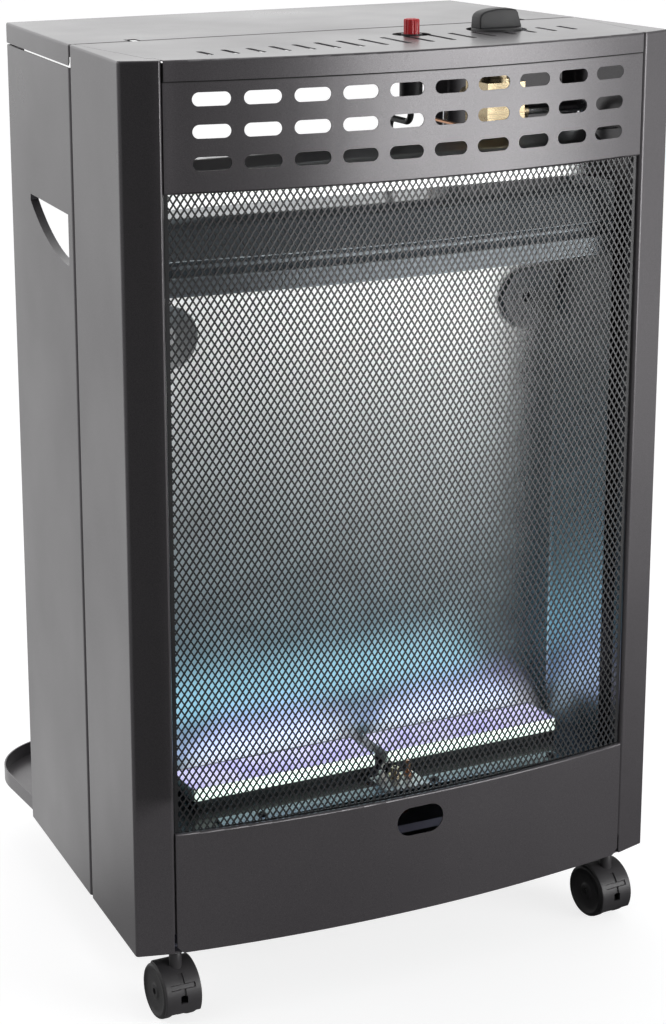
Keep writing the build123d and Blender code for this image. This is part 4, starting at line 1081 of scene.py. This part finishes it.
def build_screws():
    head = screw_head()
    tree = scatter_tree()
    forward = (math.pi / 2, 0.0, 0.0)
    groups = [
        (
            "panel_screw_heads",
            "panel_screws",
            [(sign * PANEL_SCREW_X, PANEL_SCREW_SEAT_Y, z) for sign in (-1, 1) for z in PANEL_SCREW_Z],
            forward,
        ),
        (
            "dish_screw_heads",
            "firebox_screws",
            [(sign * DISH_X, REFLECTOR_Y - 0.8, DISH_Z) for sign in (-1, 1)],
            forward,
        ),
        (
            "rail_screw_heads",
            "firebox_screws",
            [(x, RAIL_Y, RAIL_TOP) for x in RAIL_SCREW_X],
            (0.0, 0.0, 0.4),
        ),
    ]
    for name, node, spots, turn in groups:
        mesh = bpy.data.meshes.new(name + "_spots")
        mesh.from_pydata([at(*spot) for spot in spots], [], [])
        points = add_object(name + "_spots", mesh)
        made = tree.run(
            name, {"Points": points, "Item": head, "Turn": turn}, materials[slot_of[node]]
        )
        piece(name, smoothed(made, 30), "cabinet", node)
        bpy.data.objects.remove(points)
    bpy.data.objects.remove(head)


def port_cell():
    """One tile of a ceramic plaque with its tapering port, centred on the origin."""
    def build(shape):
        half = PORT_PITCH / 2000
        eighths = ((1, 0), (1, 1), (0, 1), (-1, 1), (-1, 0), (-1, -1), (0, -1), (1, -1))
        square = [shape.verts.new((x * half, y * half, 0)) for x, y in eighths]

        def ring(radius, depth):
            turns = [math.pi * index / 4 for index in range(8)]
            return [
                shape.verts.new((radius * math.cos(turn), radius * math.sin(turn), -depth))
                for turn in turns
            ]

        mouth = ring(PORT_MOUTH / 1000, 0.0)
        throat = ring(PORT_THROAT / 1000, PORT_DEPTH / 1000)
        bridge(shape, square, mouth)
        bridge(shape, mouth, throat)
        shape.faces.new(throat)

    return add_object("port_cell", mesh_from(build, "port_cell"))


def tile_tree():
    """Rectangular field of tiles."""
    made = Tree(
        "tile_field",
        [
            ("Tile", "NodeSocketObject"),
            ("Columns", "NodeSocketInt"),
            ("Rows", "NodeSocketInt"),
            ("Pitch", "NodeSocketFloat"),
            ("Corner", "NodeSocketVector"),
        ],
    )
    ins = made.source.outputs
    row = made.line(ins["Columns"], made.vector(X=ins["Pitch"]), ins["Corner"])
    column = made.line(ins["Rows"], made.vector(Y=ins["Pitch"]))
    made.finish(made.copies(made.real(made.copies(row, column)), made.thing("Tile")))
    return made


def build_plaques():
    tile = port_cell()
    tree = tile_tree()
    top = BURNER_TOP - 1.0
    inner_x, inner_y = BURNER_LENGTH - 2.4, BURNER_DEPTH - 2.4
    columns, rows = int(inner_x / PORT_PITCH), int((inner_y - 3) / PORT_PITCH)
    for name, centre in BURNERS:
        x0 = centre - (columns - 1) * PORT_PITCH / 2
        y0 = BURNER_FRONT + BURNER_DEPTH / 2 - (rows - 1) * PORT_PITCH / 2
        field = tree.run(
            "plaque_ports_" + name,
            {
                "Tile": tile,
                "Columns": columns,
                "Rows": rows,
                "Pitch": PORT_PITCH / 1000,
                "Corner": at(x0, y0, top),
            },
            materials["ceramic_plaque"],
        )
        piece("plaque_ports_" + name, field, "cabinet", "burner_plaques")

        def edge(shape):
            """Frame of the plaque round its field of ports, and its underside."""
            half_x, half_y = columns * PORT_PITCH / 2, rows * PORT_PITCH / 2
            outer_x, outer_y = inner_x / 2, inner_y / 2
            middle_y = BURNER_FRONT + BURNER_DEPTH / 2
            corners = ((-1, -1), (1, -1), (1, 1), (-1, 1))

            def loop(reach_x, reach_y, z):
                return [
                    shape.verts.new(at(centre + u * reach_x, middle_y + v * reach_y, z))
                    for u, v in corners
                ]

            hem = loop(half_x, half_y, top)
            lip = loop(outer_x - 0.4, outer_y - 0.4, top)
            brim = loop(outer_x, outer_y, top - 0.4)
            foot = loop(outer_x, outer_y, top - 6.0)
            for low, high in ((hem, lip), (lip, brim), (brim, foot)):
                bridge(shape, low, high)
            shape.faces.new(foot)

        piece("plaque_edge_" + name, mesh_from(edge, "plaque_edge"), "cabinet", "burner_plaques")
    bpy.data.objects.remove(tile)


def build_burners():
    """Pressed housings with a rolled rim; the lower part of each wall sits back."""
    # Housing steel with painted flame light on the rim's front and painted shade below it.
    rim_steel = burner_finish()
    for name, centre in BURNERS:
        def wall(shape):
            middle_y = BURNER_FRONT + BURNER_DEPTH / 2
            half_x, half_y = BURNER_LENGTH / 2, BURNER_DEPTH / 2
            low, high = TRAY_TOP, BURNER_TOP
            levels = [
                (1.5, low), (1.5, low + 8.2), (0.2, low + 9.2), (0.0, low + 9.8),
                (0.0, high - 0.7), (0.3, high - 0.1), (0.8, high), (1.2, high - 0.4),
                (1.2, high - 8.0), (2.7, high - 9.0), (2.7, low + 1.2),
            ]
            radius, steps = 4.0, 6
            rings = []
            for inset, z in levels:
                reach_x, reach_y = half_x - inset, half_y - inset
                bend = max(radius - inset, 0.6)
                ring = []
                for number, (u, v) in enumerate(((1, -1), (1, 1), (-1, 1), (-1, -1))):
                    for step in range(steps + 1):
                        turn = math.pi / 2 * (number - 1 + step / steps)
                        x = u * (reach_x - bend) + bend * math.cos(turn)
                        y = v * (reach_y - bend) + bend * math.sin(turn)
                        ring.append(shape.verts.new(at(centre + x, middle_y + y, z)))
                rings.append(ring)
            for ring, following in zip(rings, rings[1:]):
                bridge(shape, ring, following)
            shape.faces.new(rings[0][::-1])
            shape.faces.new(rings[-1])

        mesh = smoothed(mesh_from(wall, "burner_housing_" + name), 40)
        piece("burner_housing_" + name, mesh, "cabinet", name + "_burner", rim_steel)


build_knob()
build_button()
for corner in CORNERS:
    build_caster_hood(corner)
    build_wheels(corner)
build_screws()
build_plaques()
build_burners()


# ---------------------------------------------------------------- camera, floor and light

def build_camera():
    data = bpy.data.cameras.new("camera")
    data.lens = 89.4359
    data.sensor_width = 36.0
    data.shift_x = 0.01453
    data.shift_y = -0.04027
    camera = add_object("camera", data)
    forward = Vector((0.441913, 0.855257, -0.270643)).normalized()
    right = Vector((0.888316, -0.459233, -0.000753)).normalized()
    up = right.cross(forward)
    turn = Matrix((right, up, -forward)).transposed()
    camera.matrix_world = Matrix.Translation((-0.93425, -1.85944, 0.95764)) @ turn.to_4x4()
    bpy.context.scene.camera = camera


def build_floor():
    mesh = mesh_from(
        lambda shape: shape.faces.new(
            [shape.verts.new((x, y, 0)) for x, y in ((-8, -8), (8, -8), (8, 8), (-8, 8))]
        ),
        "floor",
    )
    floor = add_object("floor", mesh)
    finish = Finish(new_material("floor_white"), Roughness=0.9, Specular_IOR_Level=0.1)
    finish.shader.inputs["Base Color"].default_value = (*FLOOR_COLOUR, 1)
    finish.shader.inputs["Emission Color"].default_value = (1, 1, 1, 1)
    rays = finish.node("ShaderNodeLightPath")
    lift = finish.math("MULTIPLY", rays.outputs["Is Camera Ray"], FLOOR_LIFT)
    finish.feed(lift, "Emission Strength")
    _, axes = finish.place()
    x, y = axes["X"], axes["Y"]
    square = finish.math("ADD", finish.math("MULTIPLY", x, x), finish.math("MULTIPLY", y, y))
    reach = finish.math("SQRT", square)
    side = finish.math("DIVIDE", x, reach)
    depth = finish.math("DIVIDE", y, reach)
    right_front = finish.math("MULTIPLY", finish.ease(side, 0.3, 0.6), finish.ease(depth, 0.3, -0.3))
    glow = finish.total(
        finish.ease(depth, -0.1, 0.9, FLOOR_REAR),
        finish.ease(side, -0.2, -0.9, FLOOR_LEFT),
        finish.math("MULTIPLY", right_front, finish.ease(reach, 0.6, 2.4, FLOOR_LOBE)),
        finish.ease(reach, 0.3, 1.5, FLOOR_FRONT),
    )
    shine = finish.node("ShaderNodeEmission")
    finish.link(glow, shine.inputs["Strength"])
    either = finish.node("ShaderNodeMixShader")
    finish.link(rays.outputs["Is Glossy Ray"], either.inputs["Fac"])
    finish.link(finish.shader.outputs["BSDF"], either.inputs[1])
    finish.link(shine.outputs["Emission"], either.inputs[2])
    finish.link(either.outputs["Shader"], finish.tree.nodes["Material Output"].inputs["Surface"])
    coat(floor, finish.material)


def build_world():
    world = bpy.data.worlds.new("studio")
    bpy.context.scene.world = world
    world.use_nodes = True
    sky = Nodes(world.node_tree)
    back = world.node_tree.nodes["Background"]
    back.inputs["Color"].default_value = (1, 1, 1, 1)
    rays = sky.node("ShaderNodeLightPath")
    direction = sky.node("ShaderNodeTexCoord")
    split = sky.node("ShaderNodeSeparateXYZ")
    sky.link(direction.outputs["Generated"], split.inputs[0])
    light = sky.total(
        sky.ease(split.outputs["Y"], 0.0, 0.85, WORLD_REAR),
        sky.ease(split.outputs["X"], -0.1, -0.9, WORLD_LEFT),
        sky.ease(split.outputs["X"], 0.5, 0.95, WORLD_RIGHT),
        sky.ease(split.outputs["Z"], -1.0, 1.0, WORLD_FRONT),
    )
    seen = sky.node("ShaderNodeMix")
    seen.inputs["B"].default_value = 1.0
    sky.link(rays.outputs["Is Camera Ray"], seen.inputs["Factor"])
    sky.link(light, seen.inputs["A"])
    sky.link(seen.outputs["Result"], back.inputs["Strength"])


def build_flag():
    """Black card that keeps the softbox out of the left column; the camera does not see it."""
    def card(shape):
        x = -OPENING_HALF + 3.0
        corners = ((-6.0, 130.0), (-150.0, 130.0), (-150.0, 900.0), (-6.0, 900.0))
        shape.faces.new([shape.verts.new(at(x, y, z)) for y, z in corners])

    flag = add_object("flag", mesh_from(card, "flag"))
    coat(flag, moulded_plastic("flag_black", (0.02, 0.02, 0.022), (0.035, 0.035, 0.038), (0.8, 0.9)))
    flag.visible_camera = False


def area_light(name, location, target, size, power, colour=(1, 1, 1), size_y=None):
    data = bpy.data.lights.new(name, "AREA")
    data.energy = power
    data.color = colour
    data.size = size
    if size_y:
        data.shape = "RECTANGLE"
        data.size_y = size_y
    lamp = add_object(name, data)
    lamp.location = location
    aim = Vector(target) - Vector(location)
    lamp.rotation_euler = aim.to_track_quat("-Z", "Y").to_euler()


bpy.context.scene.view_settings.view_transform = "Standard"
build_camera()
build_floor()
build_world()
build_flag()
area_light("left", (-2.4, -0.4, 1.9), (0, 0, 0.4), 1.4, 5)
area_light("top", (0.2, 0.4, 2.8), (0, 0, 0.5), 2.0, 11)
area_light("right_front", (1.42, -2.18, 0.7), (0, 0, 0.5), 1.5, 46, size_y=1.3)
for side, centre in BURNERS:
    inward = centre * 0.8
    fire, wall = at(inward, 30, 140), at(inward, 98, 260)
    area_light("fire_" + side, fire, wall, 0.17, FIRE_POWER, FIRE_TEAL, 0.05)
    foot, rim = at(centre, 30, 100), at(centre, 44, 108)
    area_light("base_" + side, foot, rim, 0.15, BASE_POWER, FIRE_PALE, 0.008)
